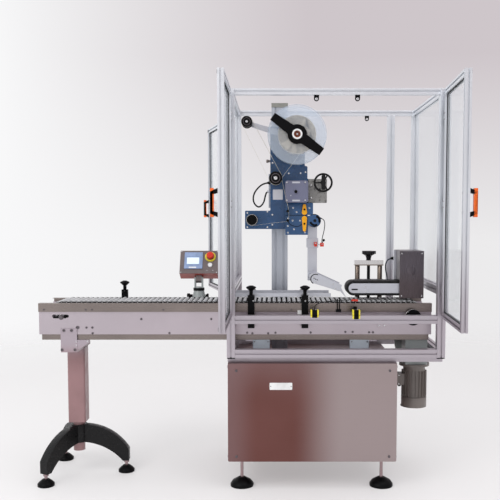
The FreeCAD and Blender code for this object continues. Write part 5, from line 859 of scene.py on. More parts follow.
class LABELLER_OT_chain(Work, bpy.types.Operator):
    """Build the roller chain round its two drums, with rollers, pins and link plates"""
    bl_idname = "labeller.chain"
    bl_label = "Roller Chain"

    LEFT, RIGHT, MIDDLE, RADIUS = -893.0, 859.6, 846.32, 64.68
    TOP_LINKS, WRAP_LINKS = 69, 8

    def stations(self):
        """Pin centres and the chain's direction at each, once round."""
        found = []
        run = (self.RIGHT - self.LEFT) / self.TOP_LINKS
        for index in range(self.TOP_LINKS):
            found.append((self.LEFT + run * index, self.MIDDLE + self.RADIUS))
        for index in range(self.WRAP_LINKS):
            angle = math.radians(90 - 180 * index / self.WRAP_LINKS)
            found.append((self.RIGHT + self.RADIUS * math.cos(angle),
                          self.MIDDLE + self.RADIUS * math.sin(angle)))
        for index in range(self.TOP_LINKS):
            found.append((self.RIGHT - run * index, self.MIDDLE - self.RADIUS))
        for index in range(self.WRAP_LINKS):
            angle = math.radians(-90 - 180 * index / self.WRAP_LINKS)
            found.append((self.LEFT + self.RADIUS * math.cos(angle),
                          self.MIDDLE + self.RADIUS * math.sin(angle)))
        return found

    def execute(self, context):
        low, high = span("roller_chain")
        form = Form()
        stations = self.stations()
        tall = self.sizes.link / MM
        for index, (x, z) in enumerate(stations):
            form.finish = 0
            inner, outer = low.y + 6.4, high.y - 6.4
            form.turned((x, inner, z), Y, [(0, 0), (7.6, 0), (9, 1.6), (9, outer - inner - 1.6),
                                           (7.6, outer - inner), (0, outer - inner)], self.sizes.roller_sides)
            form.finish = 1
            form.turned((x, low.y + 0.1, z), Y, [(0, 0), (2.4, 0), (3, 0.6), (3, high.y - low.y - 0.8),
                                                 (2.4, high.y - low.y - 0.2), (0, high.y - low.y - 0.2)], 8)
            after = Vector(stations[(index + 1) % len(stations)])
            here = Vector((x, z))
            along = (after - here)
            angle = math.atan2(along.y, along.x)
            middle = (here + after) / 2
            turn = Matrix.Rotation(-angle, 4, "Y")
            form.finish = 2
            for side, face in ((1, low.y), (-1, high.y)):
                level = face + side * (0.7 if index % 2 else 2.9)
                outline = self.link_outline(along.length, tall)
                self.plate(form, Matrix.Translation((middle.x, level, middle.y)) @ turn, outline, side * 1.9)
        chain = build("roller_chain_detail", form, "machine", ["white_roller", "steel", "link"])
        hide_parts("roller_chain")
        return {"FINISHED"}

    @staticmethod
    def link_outline(pitch, tall):
        """A figure-eight plate, about the middle of one link."""
        points = []
        for side in (1, -1):
            for step in range(-3, 4):
                angle = math.radians(step * 28)
                points.append((side * (pitch / 2 + tall / 2 * math.cos(angle) * 0.98),
                               side * tall / 2 * math.sin(angle)))
            points.append((0.0, side * tall * 0.36))
        return points

    @staticmethod
    def plate(form, place, outline, depth):
        count = len(outline)
        points = [place @ Vector((u, level, v)) for level in (0, depth) for u, v in outline]
        loops = [tuple(range(count)), tuple(range(2 * count - 1, count - 1, -1))]
        loops += [(i, (i + 1) % count, count + (i + 1) % count, count + i) for i in range(count)]
        form.add(points, loops)


class LABELLER_OT_guides(Work, bpy.types.Operator):
    """Finish the bottle guides and add their screws, the sensor posts and the boxes below the bed"""
    bl_idname = "labeller.guides"
    bl_label = "Guides"

    EDGED = {"guide_rails": "pale", "guide_clamps": "black"}
    BRACKET = -461.8  # front of the conveyor's trim, where the posts' brackets sit
    CLAMP_SCREWS = ((70.6, 926.3), (328.2, 926.3))
    RODS = ((488, 875, 936), (499, 872, 943))  # x, bottom, top
    BOXES = ((67, 152, 660, 727.2), (553, 648, 628.2, 727.2))  # left, right, bottom, top

    def execute(self, context):
        self.dress()
        self.sensor_posts()
        self.bed_boxes()
        return {"FINISHED"}

    def sensor_posts(self):
        form = Form()
        for x, z in self.CLAMP_SCREWS:
            form.screw((x, -480, z), OUT, 4)
        form.finish = 1
        form.prism((300, self.BRACKET, 868.5), OUT, rounded(20, 19, 2), 13)
        form.finish = 2
        for x, low, high in self.RODS:
            form.rod((x, -470, low), (x, -470, high), 2.6, 12)
            form.rod((x, -470, high - 9), (x, -450, high - 9), 2.2, 12)
        form.prism((493.5, self.BRACKET, 876), OUT, rounded(26, 14, 2), 12)
        form.rod((576, -447, 921), (576, -447, 893), 2.2, 12)
        form.prism((576, self.BRACKET, 889), OUT, rounded(18, 14, 2), 18)
        form.finish = 3
        form.prism((576, -440, 926), OUT, rounded(33, 9, 3), 14)
        build("sensor_posts", form, "machine", ["steel", "white", "black", "red"], 0.3)

    def bed_boxes(self):
        """Two sheet boxes below the bed, with screwed lids."""
        form = Form()
        for left, right, low, high in self.BOXES:
            x, z, wide, tall = (left + right) / 2, (low + high) / 2, right - left, high - low
            form.finish = 0
            form.prism((x, -410, z), OUT, rounded(wide, tall, 3), 40)
            form.prism((x, -449.8, z), OUT, rounded(wide - 6, tall - 6, 3), 3)
            form.finish = 1
            for x in (left + 9, right - 9):
                for z in (low + 9, high - 9):
                    form.screw((x, -452.7, z), OUT, 3)
        build("bed_boxes", form, "machine", ["box_grey", "dark"], 0.6)


# ---------------------------------------------------------------- drive, leg
class LABELLER_OT_drive(Work, bpy.types.Operator):
    """Finish the conveyor drive and add its screws, a plug and the rings of its cowl"""
    bl_idname = "labeller.drive"
    bl_label = "Conveyor Drive"

    EDGED = {"drive_motor": "motor", "drive_gearbox": "gearbox"}
    SCREWS, SCREW_FACE = ((808, 494), (883, 494), (808, 538), (883, 538)), -402.9
    PLUG = (815, -372, 487.2)
    COWL, RINGS, FIRST_RING, RING_PITCH = (883.5, -372, 376.5), 4, 18, 13

    def execute(self, context):
        self.dress()
        form = Form()
        for x, z in self.SCREWS:
            form.screw((x, self.SCREW_FACE, z), OUT, 3)
        form.finish = 1
        form.turned(self.PLUG, -Z, [(9, 0), (9, 8), (7, 11), (5, 12), (0, 12)], 18)
        for ring in range(self.RINGS):
            near = self.FIRST_RING + ring * self.RING_PITCH
            far = near + 4
            form.turned(self.COWL, -Z, [(near, -1), (far, -1), (far, 1), (near, 1)], 36, closed=True)
        build("drive_fittings", form, "machine", ["steel", "black"])
        return {"FINISHED"}


class LABELLER_OT_leg(Work, bpy.types.Operator):
    """Finish the outrigger leg and add its screws and gusset"""
    bl_idname = "labeller.leg"
    bl_label = "Outrigger Leg"

    EDGED = {"leg_column": "leg", "tripod_base": "casting"}
    SCREWS = ((-876, 776), (-838, 776), (-887, 678.4), (-822, 678.4))
    GUSSET, GUSSET_OUTLINE = (-822, 727), ((0, 0), (0, -58), (5, -58), (70, -12), (70, 0))
    GUSSET_SCREWS = ((-816, 699.5), (-760, 720.5), (-816, 719))

    def execute(self, context):
        self.dress()
        low, high = span("leg_column")
        form = Form()
        for face, axis in ((low.y, OUT), (high.y, Y)):
            for x, z in self.SCREWS:
                form.screw((x, face - axis.y * 0.1, z), axis, 7)
        build("leg_screws", form, "machine", ["dark"])
        gusset = Form()
        gusset.prism((self.GUSSET[0], low.y + 7, self.GUSSET[1]), OUT, self.GUSSET_OUTLINE, 5)
        gusset.finish = 1
        for x, z in self.GUSSET_SCREWS:
            gusset.screw((x, low.y + 2.1, z), OUT, 4)
        build("leg_gusset", gusset, "machine", ["leg", "steel"], 0.5)
        return {"FINISHED"}


# ---------------------------------------------------------------- label head
class LABELLER_OT_head(Work, bpy.types.Operator):
    """Finish the label head and add its screws, knob, blank plate, sockets and wheel cap"""
    bl_idname = "labeller.head"
    bl_label = "Label Head"

    EDGED = {"head_body": "blue", "drive_plates": "blue", "motor_cover": "violet", "lift_gearbox": "iron",
             "head_carriage": "column", "head_column": "column", "hand_wheel": "casting"}
    CASTING = ((247.9, 1562.7), (308.7, 1563.7), (334, 1569.1), (139.1, 1368), (164.5, 1352.4),
               (164.5, 1301.2), (139.1, 1288.8), (36.6, 1361.5), (36.4, 1288.8), (165.6, 1616.1))
    PLATES = ((270.3, 1386.8), (244.7, 1367.7), (287.4, 1365.5), (352.9, 1386.3), (244.7, 1333.1),
              (267.2, 1322.4), (305.1, 1322.4), (243.2, 1294.7), (274.2, 1278.7), (243.7, 1261.1),
              (330.3, 1262.7))
    COVER = ((237.6, 1513.6), (329.4, 1513.6), (237.7, 1424.3), (329.6, 1424.3))
    BOX = ((362.4, 1502.6), (362.6, 1438.7))
    KNOB, PLATE, MARKS = (160, -284, 1626.7), (192.5, 1455), ((283.7, 1513.5), (283.7, 1423))
    COVER_KNOB, DOT = (282.5, 1467.4), (257.2, 1447.9)
    GUIDE_WIRE = ((244.7, 1318.7), (250, 1308), (257, 1301), (266, 1297.4), (280, 1293), (293, 1292),
                  (304, 1296), (314, 1305.3))
    SOCKETS = ((154.2, -282, 1516), (154.2, -282, 1472))

    def execute(self, context):
        self.dress()
        form = Form()
        form.screws("head_body", self.CASTING, 4.6)
        form.screws("motor_cover", self.COVER, 4.2)
        form.screws("lift_gearbox", self.BOX, 4.2)
        for spot in self.PLATES:
            form.sunk_screw(touch("drive_plates", spot, OUT), OUT, 4.4, 1)
        build("head_screws", form, "label_head", ["steel", "black"])
        self.details()
        self.connectors()
        self.wheel()
        return {"FINISHED"}

    def details(self):
        """The casting's knob and blank plate, the cover's marks and knob, and the wire below them."""
        form = Form()
        form.turned(self.KNOB, -X, [(9, 0), (9, 3), (6, 5), (6, 15), (8.5, 17), (8.5, 25), (7, 27), (0, 27)],
                    22)
        form.finish = 1
        form.prism(touch("head_body", self.PLATE, OUT), OUT, rounded(51, 52, 2), 1.1)
        for spot in self.MARKS:
            form.prism(touch("motor_cover", spot, OUT), OUT, rounded(39, 8, 1), 0.7)
        form.turned(touch("motor_cover", self.DOT, OUT), OUT, [(2.6, 0), (2.6, 0.6), (2, 1), (0, 1)], 14)
        form.finish = 2
        form.turned(touch("motor_cover", self.COVER_KNOB, OUT), OUT,
                    [(8, 0), (8, 2), (6.5, 3), (3, 3), (2.4, 1.4), (0, 1.4)], 24)
        depth = touch("drive_plates", (266, 1300), OUT).y - 0.9
        form.tube([(x, depth, z) for x, z in self.GUIDE_WIRE], 1.5, 8)
        build("head_details", form, "label_head", ["trim", "pale", "black"], 0.25)

    def connectors(self):
        """The two sockets that the looped lead enters."""
        form = Form()
        for form.finish, spot in enumerate(self.SOCKETS):
            form.turned(spot, -X, [(0, -6), (7.5, -6), (7.5, 2), (9, 3), (9, 8), (6.2, 10), (5.4, 16),
                                   (4.2, 17), (4.2, 2)], 22)
        build("head_connectors", form, "label_head", ["black", "pale"])

    def wheel(self):
        """The hand wheel's nut and its broad upright spoke."""
        middle = centre_of("hand_wheel")
        form = Form()
        form.turned((middle.x, touch("hand_wheel", middle, OUT).y, middle.y), OUT,
                    [(5, 0), (5, 2), (4, 3), (0, 3)], 18)
        form.finish = 1
        form.prism((middle.x, span("hand_wheel")[0].y + 14, middle.y), OUT, rounded(20, 74, 7), 5)
        build("wheel_cap", form, "hand_wheel", ["steel", "casting"], 0.4)


class LABELLER_OT_reel(Work, bpy.types.Operator):
    """Finish the label reel and add its card core, the clamp's hub and the discs' rims"""
    bl_idname = "labeller.reel"
    bl_label = "Label Reel"

    EDGED = {"label_roll": "paper", "reel_clamp": "black"}
    PLAIN = {"reel_discs": "disc"}

    def execute(self, context):
        self.dress()
        middle = centre_of("label_roll")
        self.core(middle)
        self.rims(middle)
        return {"FINISHED"}

    def core(self, middle):
        hub = Vector((middle.x, span("reel_clamp")[0].y + 0.4, middle.y))
        form = Form()
        form.turned((middle.x, span("label_roll")[0].y, middle.y), OUT,
                    [(30, 0), (30, 0.5), (38, 0.5), (38, 0)], 48, closed=True)
        form.turned(hub, OUT, [(17.2, -30), (17.2, -3), (13, -3), (12, -9), (7, -9), (6.5, -6), (0, -6)], 36)
        form.finish = 1
        form.turned(hub, OUT, [(17, -6), (17, 1), (19, 2.4), (24, 2.4), (25.5, 1), (25.5, -0.4), (17.5, -8)],
                    48, closed=True)
        form.finish = 2
        form.screw((hub.x, hub.y + 6.2, hub.z), OUT, 5)
        build("reel_core", form, "reel", ["core", "white", "steel"])

    def rims(self, middle):
        low, high = span("reel_discs")
        outer = radius_of("reel_discs")
        profile = [(outer - 2.4, 0.2), (outer - 0.4, 0.2), (outer - 0.1, 1.0), (outer - 0.1, 2.0),
                   (outer - 0.4, 2.8), (outer - 2.4, 2.8)]
        form = Form()
        for level in (low.y + 3, high.y):
            form.turned((middle.x, level, middle.y), OUT, profile, 96, closed=True)
        build("reel_rims", form, "reel", ["disc"])


class LABELLER_OT_web(Work, bpy.types.Operator):
    """Finish the web's rollers and levers and thread the label web through them"""
    bl_idname = "labeller.web"
    bl_label = "Label Web"

    EDGED = {"dancer_arm": "pale", "dancer_roller": "black", "web_roller": "black", "rewind_hub": "black",
             "drive_roller": "rubber", "lever_upper": "orange", "lever_lower": "orange"}
    FRONT, SHOWN = -398, 0.8  # front edge of the web, and how much of its width clears the plates
    PINS = ((242, 1370), (242, 1323))

    def execute(self, context):
        self.dress()
        roller, roll, hub = centre_of("web_roller"), centre_of("label_roll"), centre_of("rewind_hub")
        reach = radius_of("web_roller") + 0.5
        start = roll + heading(-82) * (radius_of("label_roll") + 0.6)
        form = Form()
        self.ribbon(form, [start, roller + Vector((reach, 4))] + self.arc(roller, reach, 10, -150))
        self.ribbon(form, self.arc(roller, reach, -100, -18) + [Vector((247, 1376)), Vector((247.5, 1368)),
                                                                Vector((247.5, 1326))])
        self.ribbon(form, [Vector((246, 1319)), Vector((150, 1308))]
                    + self.arc(hub, radius_of("rewind_hub") + 0.5, -80, -240))
        build("label_web", form, "label_head", ["web"])
        self.loop(roller, reach)
        self.pins()
        self.caps()
        self.pivots()
        return {"FINISHED"}

    def ribbon(self, form, points):
        """A stretch of the web through points (x, z)."""
        width = self.sizes.web / MM * self.SHOWN
        form.ribbon(points, self.FRONT, self.FRONT + width, self.sizes.web_thickness / MM)

    @staticmethod
    def arc(centre, radius, first, last, steps=10):
        return [centre + heading(first + (last - first) * step / steps) * radius for step in range(steps + 1)]

    def loop(self, roller, reach):
        """The web's two runs up to the dancer, which swings them."""
        dancer = centre_of("dancer_roller")
        dancer_reach = radius_of("dancer_roller") + 0.5
        across = (roller - dancer).normalized()
        side = Vector((-across.y, across.x))
        form = Form()
        for way in (-1, 1):
            near = dancer + side * way * dancer_reach
            far = roller + side * way * reach
            self.ribbon(form, [near.lerp(far, step / 14) for step in range(15)])
        first = math.degrees(math.atan2(side.y, side.x))
        self.ribbon(form, self.arc(dancer, dancer_reach, first, first + 180))
        strip = build("dancer_web", form, None, ["web"])
        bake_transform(strip)

    def pins(self):
        """Two dark pins that turn the web at the plates' edge."""
        form = Form()
        for spot in self.PINS:
            face = touch("drive_plates", spot, OUT)
            reach = face.y - self.FRONT
            form.turned(face, OUT, [(6.5, 0), (6.5, 2), (4.7, 3), (4.7, reach - 1), (6.5, reach),
                                    (6.5, reach + 2), (2, reach + 2.6), (0, reach + 2.6)], 20)
        build("web_pins", form, "label_head", ["black"])

    @staticmethod
    def caps():
        """Bright hubs and dark rings in the rollers' ends, and a bright line round the rewind hub."""
        for node, radius in (("web_roller", 9), ("dancer_roller", 6)):
            middle, outer = centre_of(node), radius_of(node)
            end = (middle.x, span(node)[0].y + 0.1, middle.y)
            form = Form()
            form.turned(end, OUT, [(radius, -0.5), (radius, 0.6), (radius - 1.5, 1.2), (radius * 0.45, 1.2),
                                   (radius * 0.4, 0.2), (0, 0.2)], 26)
            form.finish = 1
            form.turned(end, OUT, [(outer * 0.62, -0.4), (outer * 0.62, 0.4), (outer * 0.7, 0.4),
                                   (outer * 0.7, -0.4)], 36, closed=True)
            build(f"{node}_cap", form, node, ["steel", "dark"])
        middle, outer = centre_of("rewind_hub"), radius_of("rewind_hub")
        form = Form()
        form.turned((middle.x, span("rewind_hub")[0].y + 0.1, middle.y), OUT,
                    [(outer - 2.6, -0.4), (outer - 2.6, 0.3), (outer - 1.2, 0.3), (outer - 1.2, -0.4)], 40,
                    closed=True)
        build("rewind_hub_rim", form, "rewind_hub", ["steel"])

    @staticmethod
    def pivots():
        for node in ("lever_upper", "lever_lower"):
            form = Form()
            form.turned(touch(node, centre_of(node), OUT), OUT, [(5, 0), (5, 1.4), (4, 2.2), (0, 2.2)], 20)
            build(f"{node}_pivot", form, node, ["black"])


class LABELLER_OT_arm(Work, bpy.types.Operator):
    """Finish the dispensing arm and its column, and add their screws, black rims and the sensor"""
    bl_idname = "labeller.arm"
    bl_label = "Dispensing Arm"

    EDGED = {"peel_column": "pale", "peel_arm": "pale"}
    SCREWS = ((374, 1040), (386, 1016), (472, 1002), (484, 980))
    CAP, NOSE, NOSE_FACE = (383, 1028), (380, 1322), (396, 1322)
    RING = (408, -330, 1334)
    LEFT_CLIP, RIGHT_CLIP = (388, 1199), (421, 1197.5)

    def execute(self, context):
        self.dress()
        low, high = span("peel_column")
        form = Form()
        form.screws("peel_arm", self.SCREWS, 4)
        form.screws("peel_column", [(x, z) for z in (low.z + 14, high.z - 20) for x in (365, 393)], 4)
        build("arm_screws", form, "label_head", ["steel"])
        self.end_cap()
        self.nose_rims()
        self.sensor()
        return {"FINISHED"}

    def end_cap(self):
        """The black rim and the row of dark dots at the arm's upper end."""
        form = Form()
        centre = touch("peel_arm", self.CAP, OUT)
        form.prism(centre, OUT, band(27, 22.5, 62, 242, 12), 1.2)
        for step in (-8, 0, 8):
            form.turned((centre.x + step, centre.y, centre.z - step * 0.45), OUT,
                        [(2.8, 0), (2.8, 0.5), (0, 0.5)], 16)
        build("arm_rim", form, "label_head", ["black"])

    def nose_rims(self):
        """Black edges on the nose that the web runs over, and the gland of its lead."""
        form = Form()
        face = touch("drive_plates", self.NOSE_FACE, OUT)
        for first, last in ((195, 300), (-25, 75)):
            form.prism((face.x, face.y, self.NOSE[1]), OUT,
                       band(28.5, 18, first, last, 7, self.NOSE[0] - face.x), 1)
        form.turned(self.RING, X, [(0, -3), (5, -3), (5, 3), (3.6, 4), (3, 8), (1.9, 8)], 18)
        build("nose_rims", form, "label_head", ["black"])

    def sensor(self):
        """The red clips on the arm's column, their bar and ball."""
        form = Form()
        (left, left_z), (right, right_z) = self.LEFT_CLIP, self.RIGHT_CLIP
        face = touch("peel_column", self.LEFT_CLIP, OUT).y
        bar = face - 34
        form.prism((left, face, left_z), OUT, rounded(15, 22, 2), 46)
        form.prism((right, face - 24, right_z), OUT, rounded(19, 19, 2), 22)
        form.finish = 1
        form.rod((left, bar, left_z), (right, bar, right_z), 2.6, 12)
        form.screw((left, face - 45.9, left_z + 5), OUT, 3.4)
        form.screw((right, face - 45.9, right_z + 3.5), OUT, 3)
        form.finish = 2
        form.rod((right, bar, right_z + 8.5), (right + 8, bar, right_z + 18.5), 2, 10)
        form.turned((right + 9.4, bar, right_z + 16.5), Z, [(0, 0), (3.6, 0.9), (6, 3.4), (6.8, 6.8),
                                                            (6, 10.2), (3.6, 12.7), (0, 13.6)], 20)
        build("nose_sensor", form, "label_head", ["red", "steel", "black"], 0.3)


class LABELLER_OT_press(Work, bpy.types.Operator):
    """Finish the press belt and add its screws, slot, blank disc and glands"""
    bl_idname = "labeller.press"
    bl_label = "Press Belt"

    EDGED = {"press_belt": "band", "press_platen": "pale", "press_box": "box", "press_stand": "rod",
             "press_knob": "casting"}
    PLATEN_SCREWS, SLOT, DISC = ((638, 984.3), (638.2, 964)), (583, 973), (867.7, 1068.3)
    GLANDS = (((815.2, -150, 1120), -X), ((755, -162, 984), X))

    def execute(self, context):
        self.dress()
        form = Form()
        low, high = span("press_box")
        form.screws("press_platen", self.PLATEN_SCREWS, 4.4)
        form.screws("press_box", [(x, z) for x in (low.x + 10, high.x - 10)
                                  for z in (low.z + 12, high.z - 12)], 3.4)
        form.finish = 1
        # Painted shade: the platen's slot is a thin black plate, in place of the shade in its opening.
        form.prism(touch("press_platen", self.SLOT, OUT), OUT, rounded(33, 7, 3.4), 0.6)
        for spot, axis in self.GLANDS:
            form.turned(spot, axis, [(0, -3), (9.5, -3), (9.5, 5), (7.6, 7), (6.4, 16), (4.6, 18),
                                     (3.4, 18)], 24)
        form.finish = 2
        form.turned(touch("press_box", self.DISC, OUT), OUT, [(21, 0), (21, 0.4), (20, 0.9), (0, 0.9)], 40)
        build("press_fittings", form, "press_unit", ["steel", "black", "box"])
        return {"FINISHED"}


# ---------------------------------------------------------------- panel
class LABELLER_OT_panel(Work, bpy.types.Operator):
    """Finish the operator panel and add its display, bezel, collar, screws, red edge and foot knobs"""
    bl_idname = "labeller.panel"
    bl_label = "Operator Panel"

    EDGED = {"panel_base": "gearbox", "panel_neck": "gearbox", "panel_housing": "panel",
             "panel_screen": "bezel", "stop_button": "red", "start_button": "white"}
    # The housing's own place; the sizes below are about its hinge, x across and z up its face.
    PLACE = Matrix.Translation((-231, -146, 1006)) @ Matrix.Rotation(math.radians(-30), 4, "X")
    FACE, SCREEN, BUTTON = -30.9, -35.9, -59.9
    STOP = (60, 120)
    BEZEL = ((-30, 118.6, 78, 3), (-30, 70.6, 78, 3), (-70.5, 94.6, 3, 51), (10.5, 94.6, 3, 51))

    def execute(self, context):
        self.dress()
        self.details()
        self.stop_mark()
        self.foot()
        return {"FINISHED"}

    def details(self):
        form = Form()
        form.prism((-32.5, self.SCREEN, 94.6), OUT, rounded(66, 39, 2), 0.5)
        form.finish = 1
        for x, z, width, height in self.BEZEL:
            form.prism((x, self.SCREEN, z), OUT, rounded(width, height, 1.2), 1.2)
        form.finish = 2
        form.prism((-34, self.SCREEN, 55), OUT, rounded(40, 7, 1), 0.5)
        form.finish = 3
        form.turned((self.STOP[0], self.FACE + 0.1, self.STOP[1]), OUT,
                    [(21.4, -0.4), (21.4, 5.6), (28, 5.6), (29.4, 4.2), (29.4, -0.4)], 48, closed=True)
        form.finish = 4
        for x in (-96, 96):
            for z in (27, 151):
                form.screw((x, self.FACE, z), OUT, 3.4)
        for x in (44, 76):
            form.screw((x, self.FACE, 38), OUT, 2.8)
        form.finish = 5
        form.block((-101.5, -29.5, 18.7), (101.5, 29.5, 20.2))
        build("panel_details", form.moved(self.PLACE), "panel",
              ["display", "bezel", "white", "yellow", "steel", "edge"], 0.2)

    def stop_mark(self):
        """Raised dots that show which way the stop button turns free."""
        form = Form()
        x, z = self.STOP
        form.turned((x, self.BUTTON, z), OUT, [(4, 0), (4, 0.5), (3, 0.7), (0, 0.7)], 20)
        for angle in range(0, 360, 60):
            spot = Vector((x, z)) + heading(angle) * 12
            form.prism((spot.x, self.BUTTON + 0.6, spot.y), OUT, rounded(3, 3, 1.2), 1)
        build("stop_button_mark", form.moved(self.PLACE), "stop_button", ["red"])

    @staticmethod
    def foot():
        """Two clamping knobs on the foot, and a ribbed boot round the neck."""
        low, high = span("panel_base")
        level = 918
        form = Form()
        form.turned((low.x + 1, (low.y + high.y) / 2, level), -X,
                    [(8, 0), (8, 12), (13, 14), (13, 26), (11, 29), (0, 29)], 22)
        form.turned((high.x - 1, (low.y + high.y) / 2, level), X,
                    [(8, 0), (8, 6), (12, 8), (12, 15), (10, 17), (0, 17)], 22)
        build("panel_foot_knobs", form, "machine", ["black"])
        neck_low, neck_high = span("panel_neck")
        boot = Form()
        boot.turned(((neck_low.x + neck_high.x) / 2, (neck_low.y + neck_high.y) / 2, high.z + 1), Z,
                    [(26, 0), (30.2, 2), (30.2, 6), (28.4, 8), (30.2, 10), (30.2, 14), (26, 16)], 36,
                    closed=True)
        build("panel_boot", boot, "panel_neck", ["rubber"])


# ---------------------------------------------------------------- leads
class LABELLER_OT_leads(Work, bpy.types.Operator):
    """Draw the free leads of the label head and the press"""
    bl_idname = "labeller.leads"
    bl_label = "Leads"

    HEAD = ((154, -282, 1516), (126, -282, 1516), (92, -284, 1494), (66, -286, 1456), (66, -286, 1414),
            (94, -284, 1386), (120, -283, 1412), (127, -282, 1446), (135, -282, 1472), (154, -282, 1472))
    PRESS = ((815, -150, 1120), (790, -150, 1120), (771, -152, 1096), (770, -155, 1060), (777, -158, 1028),
             (779, -162, 1002), (772, -162, 984), (755, -162, 984))
    NOSE = ((408, -330, 1334), (424, -330, 1332), (434, -322, 1312), (432, -304, 1276), (424, -288, 1240),
            (421, -278, 1222), (421, -275, 1206))
    SENSOR = ((370, -560, 891), (370, -560, 906), (380, -554, 919), (410, -534, 926), (459, -505, 929),
              (522, -470, 929), (545, -449, 927), (560, -447, 927))
    # Name, points, diameter in mm, real length in m, finish, body, slot, node it replaces, lay.
    LEADS = (("head_lead", HEAD, 8, 0.305, "cable", "label_head", "cable_black", "head_cable", "hanging"),
             ("press_lead", PRESS, 7, 0.1825, "grey_cable", "press_unit", "cable_grey", "press_cable",
              "hanging"),
             ("nose_lead", NOSE, 4, 0.154, "cable", "label_head", "cable_black", None, "loose"),
             ("sensor_lead", SENSOR, 4, 0.252, "cable", "machine", "cable_black", None, "loose"))

    def execute(self, context):
        for name, points, diameter, reach, finish, body, slot, node, lay in self.LEADS:
            lead = self.lead(name, points, diameter, finish)
            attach(lead, body)
            if node:
                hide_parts(node)
        return {"FINISHED"}

    @staticmethod
    def lead(name, points, diameter, finish):
        data = bpy.data.curves.new(name, "CURVE")
        data.dimensions = "3D"
        data.bevel_depth = diameter * MM / 2
        data.bevel_resolution = 6
        data.resolution_u = 16
        data.use_fill_caps = True
        spline = data.splines.new("NURBS")
        spline.points.add(len(points) - 1)
        for place, point in zip(spline.points, points):
            place.co = (point[0] * MM, point[1] * MM, point[2] * MM, 1)
        spline.order_u = 3
        spline.use_endpoint_u = True
        data.materials.append(MATERIALS[finish])
        item = bpy.data.objects.new(name, data)
        bpy.context.scene.collection.objects.link(item)
        return item


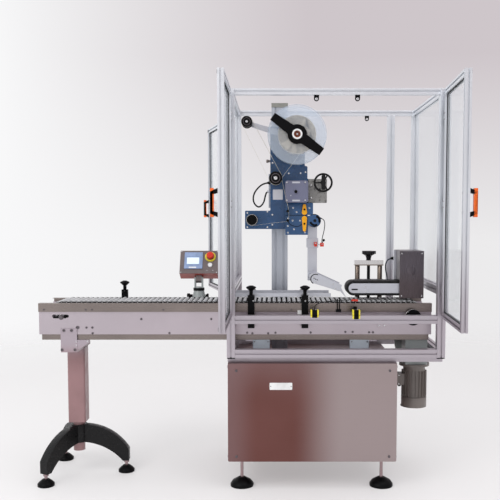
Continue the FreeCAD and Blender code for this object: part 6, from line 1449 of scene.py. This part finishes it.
# ---------------------------------------------------------------- studio
class LABELLER_OT_studio(Work, bpy.types.Operator):
    """Set the camera, lamps, floor and background"""
    bl_idname = "labeller.studio"
    bl_label = "Studio"

    EYE, TILT, SHIFT = (0.178, -4.272, 1.338), math.radians(86), (-0.05, 0.0427)
    KEY, KEY_SIZE = (-2.6, -3.6, 3.6), 2.6
    FILL, FILL_SIZE = (1.6, -1.2, 4.2), 3.0
    AIM = Vector((0, -0.2, 0.9))
    FLOOR_RADII, FADE_FROM, FADE_TO, DENSITY = (0, 500, 2000, 12000), 2.2, 6.5, 0.62

    def execute(self, context):
        studio = context.scene.labeller_studio
        context.scene.view_settings.view_transform = "Standard"
        camera = bpy.data.objects.new("camera", bpy.data.cameras.new("camera"))
        camera.data.lens = studio.lens
        camera.data.sensor_width = 36
        camera.data.shift_x, camera.data.shift_y = self.SHIFT
        camera.data.clip_end = 100
        camera.location = self.EYE
        camera.rotation_euler = (self.TILT, 0, 0)
        context.scene.collection.objects.link(camera)
        context.scene.camera = camera
        self.lamp("key", studio.key, self.KEY, self.KEY_SIZE)
        self.lamp("fill", studio.fill, self.FILL, self.FILL_SIZE)
        self.floor(studio)
        self.world(studio)
        return {"FINISHED"}

    def lamp(self, name, power, spot, size):
        data = bpy.data.lights.new(name, "AREA")
        data.energy = power
        data.size = size
        item = bpy.data.objects.new(name, data)
        item.location = spot
        item.rotation_euler = (Vector(spot) - self.AIM).to_track_quat("Z", "Y").to_euler()
        bpy.context.scene.collection.objects.link(item)

    def floor(self, studio):
        """A pale floor, part clear, that fades out into the background."""
        form = Form()
        form.turned((0, 0, -0.4), Z, [(radius, 0) for radius in self.FLOOR_RADII], 64)
        bmesh.ops.scale(form.mesh, vec=(MM, MM, MM), verts=form.mesh.verts)
        data = bpy.data.meshes.new("floor")
        form.mesh.to_mesh(data)
        form.mesh.free()
        finish = Finish("studio_floor", studio.floor, 0.55)
        finish.vary(finish.noise(0.6), 0.012)
        reach = finish.node("ShaderNodeVectorMath", {0: finish.spot}, operation="LENGTH").outputs["Value"]
        density = finish.ranged(reach, self.DENSITY, 0.0, self.FADE_FROM, self.FADE_TO)
        finish.links.new(density, finish.shader.inputs["Alpha"])
        data.materials.append(finish.material)
        item = bpy.data.objects.new("studio_floor", data)
        bpy.context.scene.collection.objects.link(item)

    @staticmethod
    def world(studio):
        """Even white light for the object, and the background's colours for what is seen directly."""
        world = bpy.data.worlds.new("studio")
        bpy.context.scene.world = world
        world.use_nodes = True
        tree = world.node_tree
        light = tree.nodes["Background"]
        light.inputs["Color"].default_value = (1, 1, 1, 1)
        light.inputs["Strength"].default_value = studio.sky
        spot = wired(tree, "ShaderNodeTexCoord").outputs["Generated"]
        axes = wired(tree, "ShaderNodeSeparateXYZ", {0: spot}).outputs
        height, aside = (wired(tree, "ShaderNodeMapRange", {"Value": axes[axis], "From Min": start,
                                                            "From Max": end}).outputs[0]
                         for axis, start, end in (("Z", -0.03, 0.2), ("X", -0.33, 0.04)))
        share = wired(tree, "ShaderNodeMath", {0: height, 1: aside}, operation="MULTIPLY").outputs[0]
        low = wired(tree, "ShaderNodeMix", {0: aside, 6: tuple(studio.left), 7: tuple(studio.right)},
                    data_type="RGBA").outputs[2]
        tone = wired(tree, "ShaderNodeMix", {0: share, 6: low, 7: tuple(studio.high)},
                     data_type="RGBA").outputs[2]
        seen = wired(tree, "ShaderNodeBackground", {"Color": tone})
        path = wired(tree, "ShaderNodeLightPath").outputs
        direct = path["Is Camera Ray"]
        for other in ("Is Glossy Ray", "Is Transmission Ray"):
            direct = wired(tree, "ShaderNodeMath", {0: direct, 1: path[other]},
                           operation="MAXIMUM").outputs[0]
        choice = wired(tree, "ShaderNodeMixShader", {0: direct, 1: light.outputs[0], 2: seen.outputs[0]})
        tree.links.new(choice.outputs[0], tree.nodes["World Output"].inputs["Surface"])


# ---------------------------------------------------------------- add-on
OPERATORS = (LABELLER_OT_studio, LABELLER_OT_leads, LABELLER_OT_guard, LABELLER_OT_doors,
             LABELLER_OT_cabinet, LABELLER_OT_conveyor, LABELLER_OT_chain, LABELLER_OT_guides,
             LABELLER_OT_drive, LABELLER_OT_leg, LABELLER_OT_head, LABELLER_OT_reel, LABELLER_OT_web,
             LABELLER_OT_arm, LABELLER_OT_press, LABELLER_OT_panel)


class LABELLER_PT_sidebar(bpy.types.Panel):
    """Lists the machine's steps and settings"""
    bl_idname = "LABELLER_PT_sidebar"
    bl_label = "Bottle Labelling Machine"
    bl_space_type = "VIEW_3D"
    bl_region_type = "UI"
    bl_category = "Labeller"

    def draw(self, context):
        for operator in OPERATORS:
            self.layout.operator(operator.bl_idname)
        for group in (context.scene.labeller_sizes, context.scene.labeller_studio,
                      context.scene.labeller_colours):
            box = self.layout.box()
            for name in group.__annotations__:
                box.prop(group, name)


GROUPS = {"labeller_colours": LabellerColours, "labeller_sizes": LabellerSizes,
          "labeller_studio": LabellerStudio}
CLASSES = tuple(GROUPS.values()) + OPERATORS + (LABELLER_PT_sidebar,)


def register():
    for item in CLASSES:
        bpy.utils.register_class(item)
    for name, group in GROUPS.items():
        setattr(bpy.types.Scene, name, PointerProperty(type=group))


def unregister():
    for name in GROUPS:
        delattr(bpy.types.Scene, name)
    for item in reversed(CLASSES):
        bpy.utils.unregister_class(item)


def main():
    register()
    MATERIALS.update(make_finishes(bpy.context.scene.labeller_colours))
    for operator in OPERATORS:
        step = operator.bl_idname.split(".")[1]
        if getattr(bpy.ops.labeller, step)() != {"FINISHED"}:
            raise RuntimeError(f"{operator.bl_label} didn't finish")


if __name__ == "__main__":
    main()
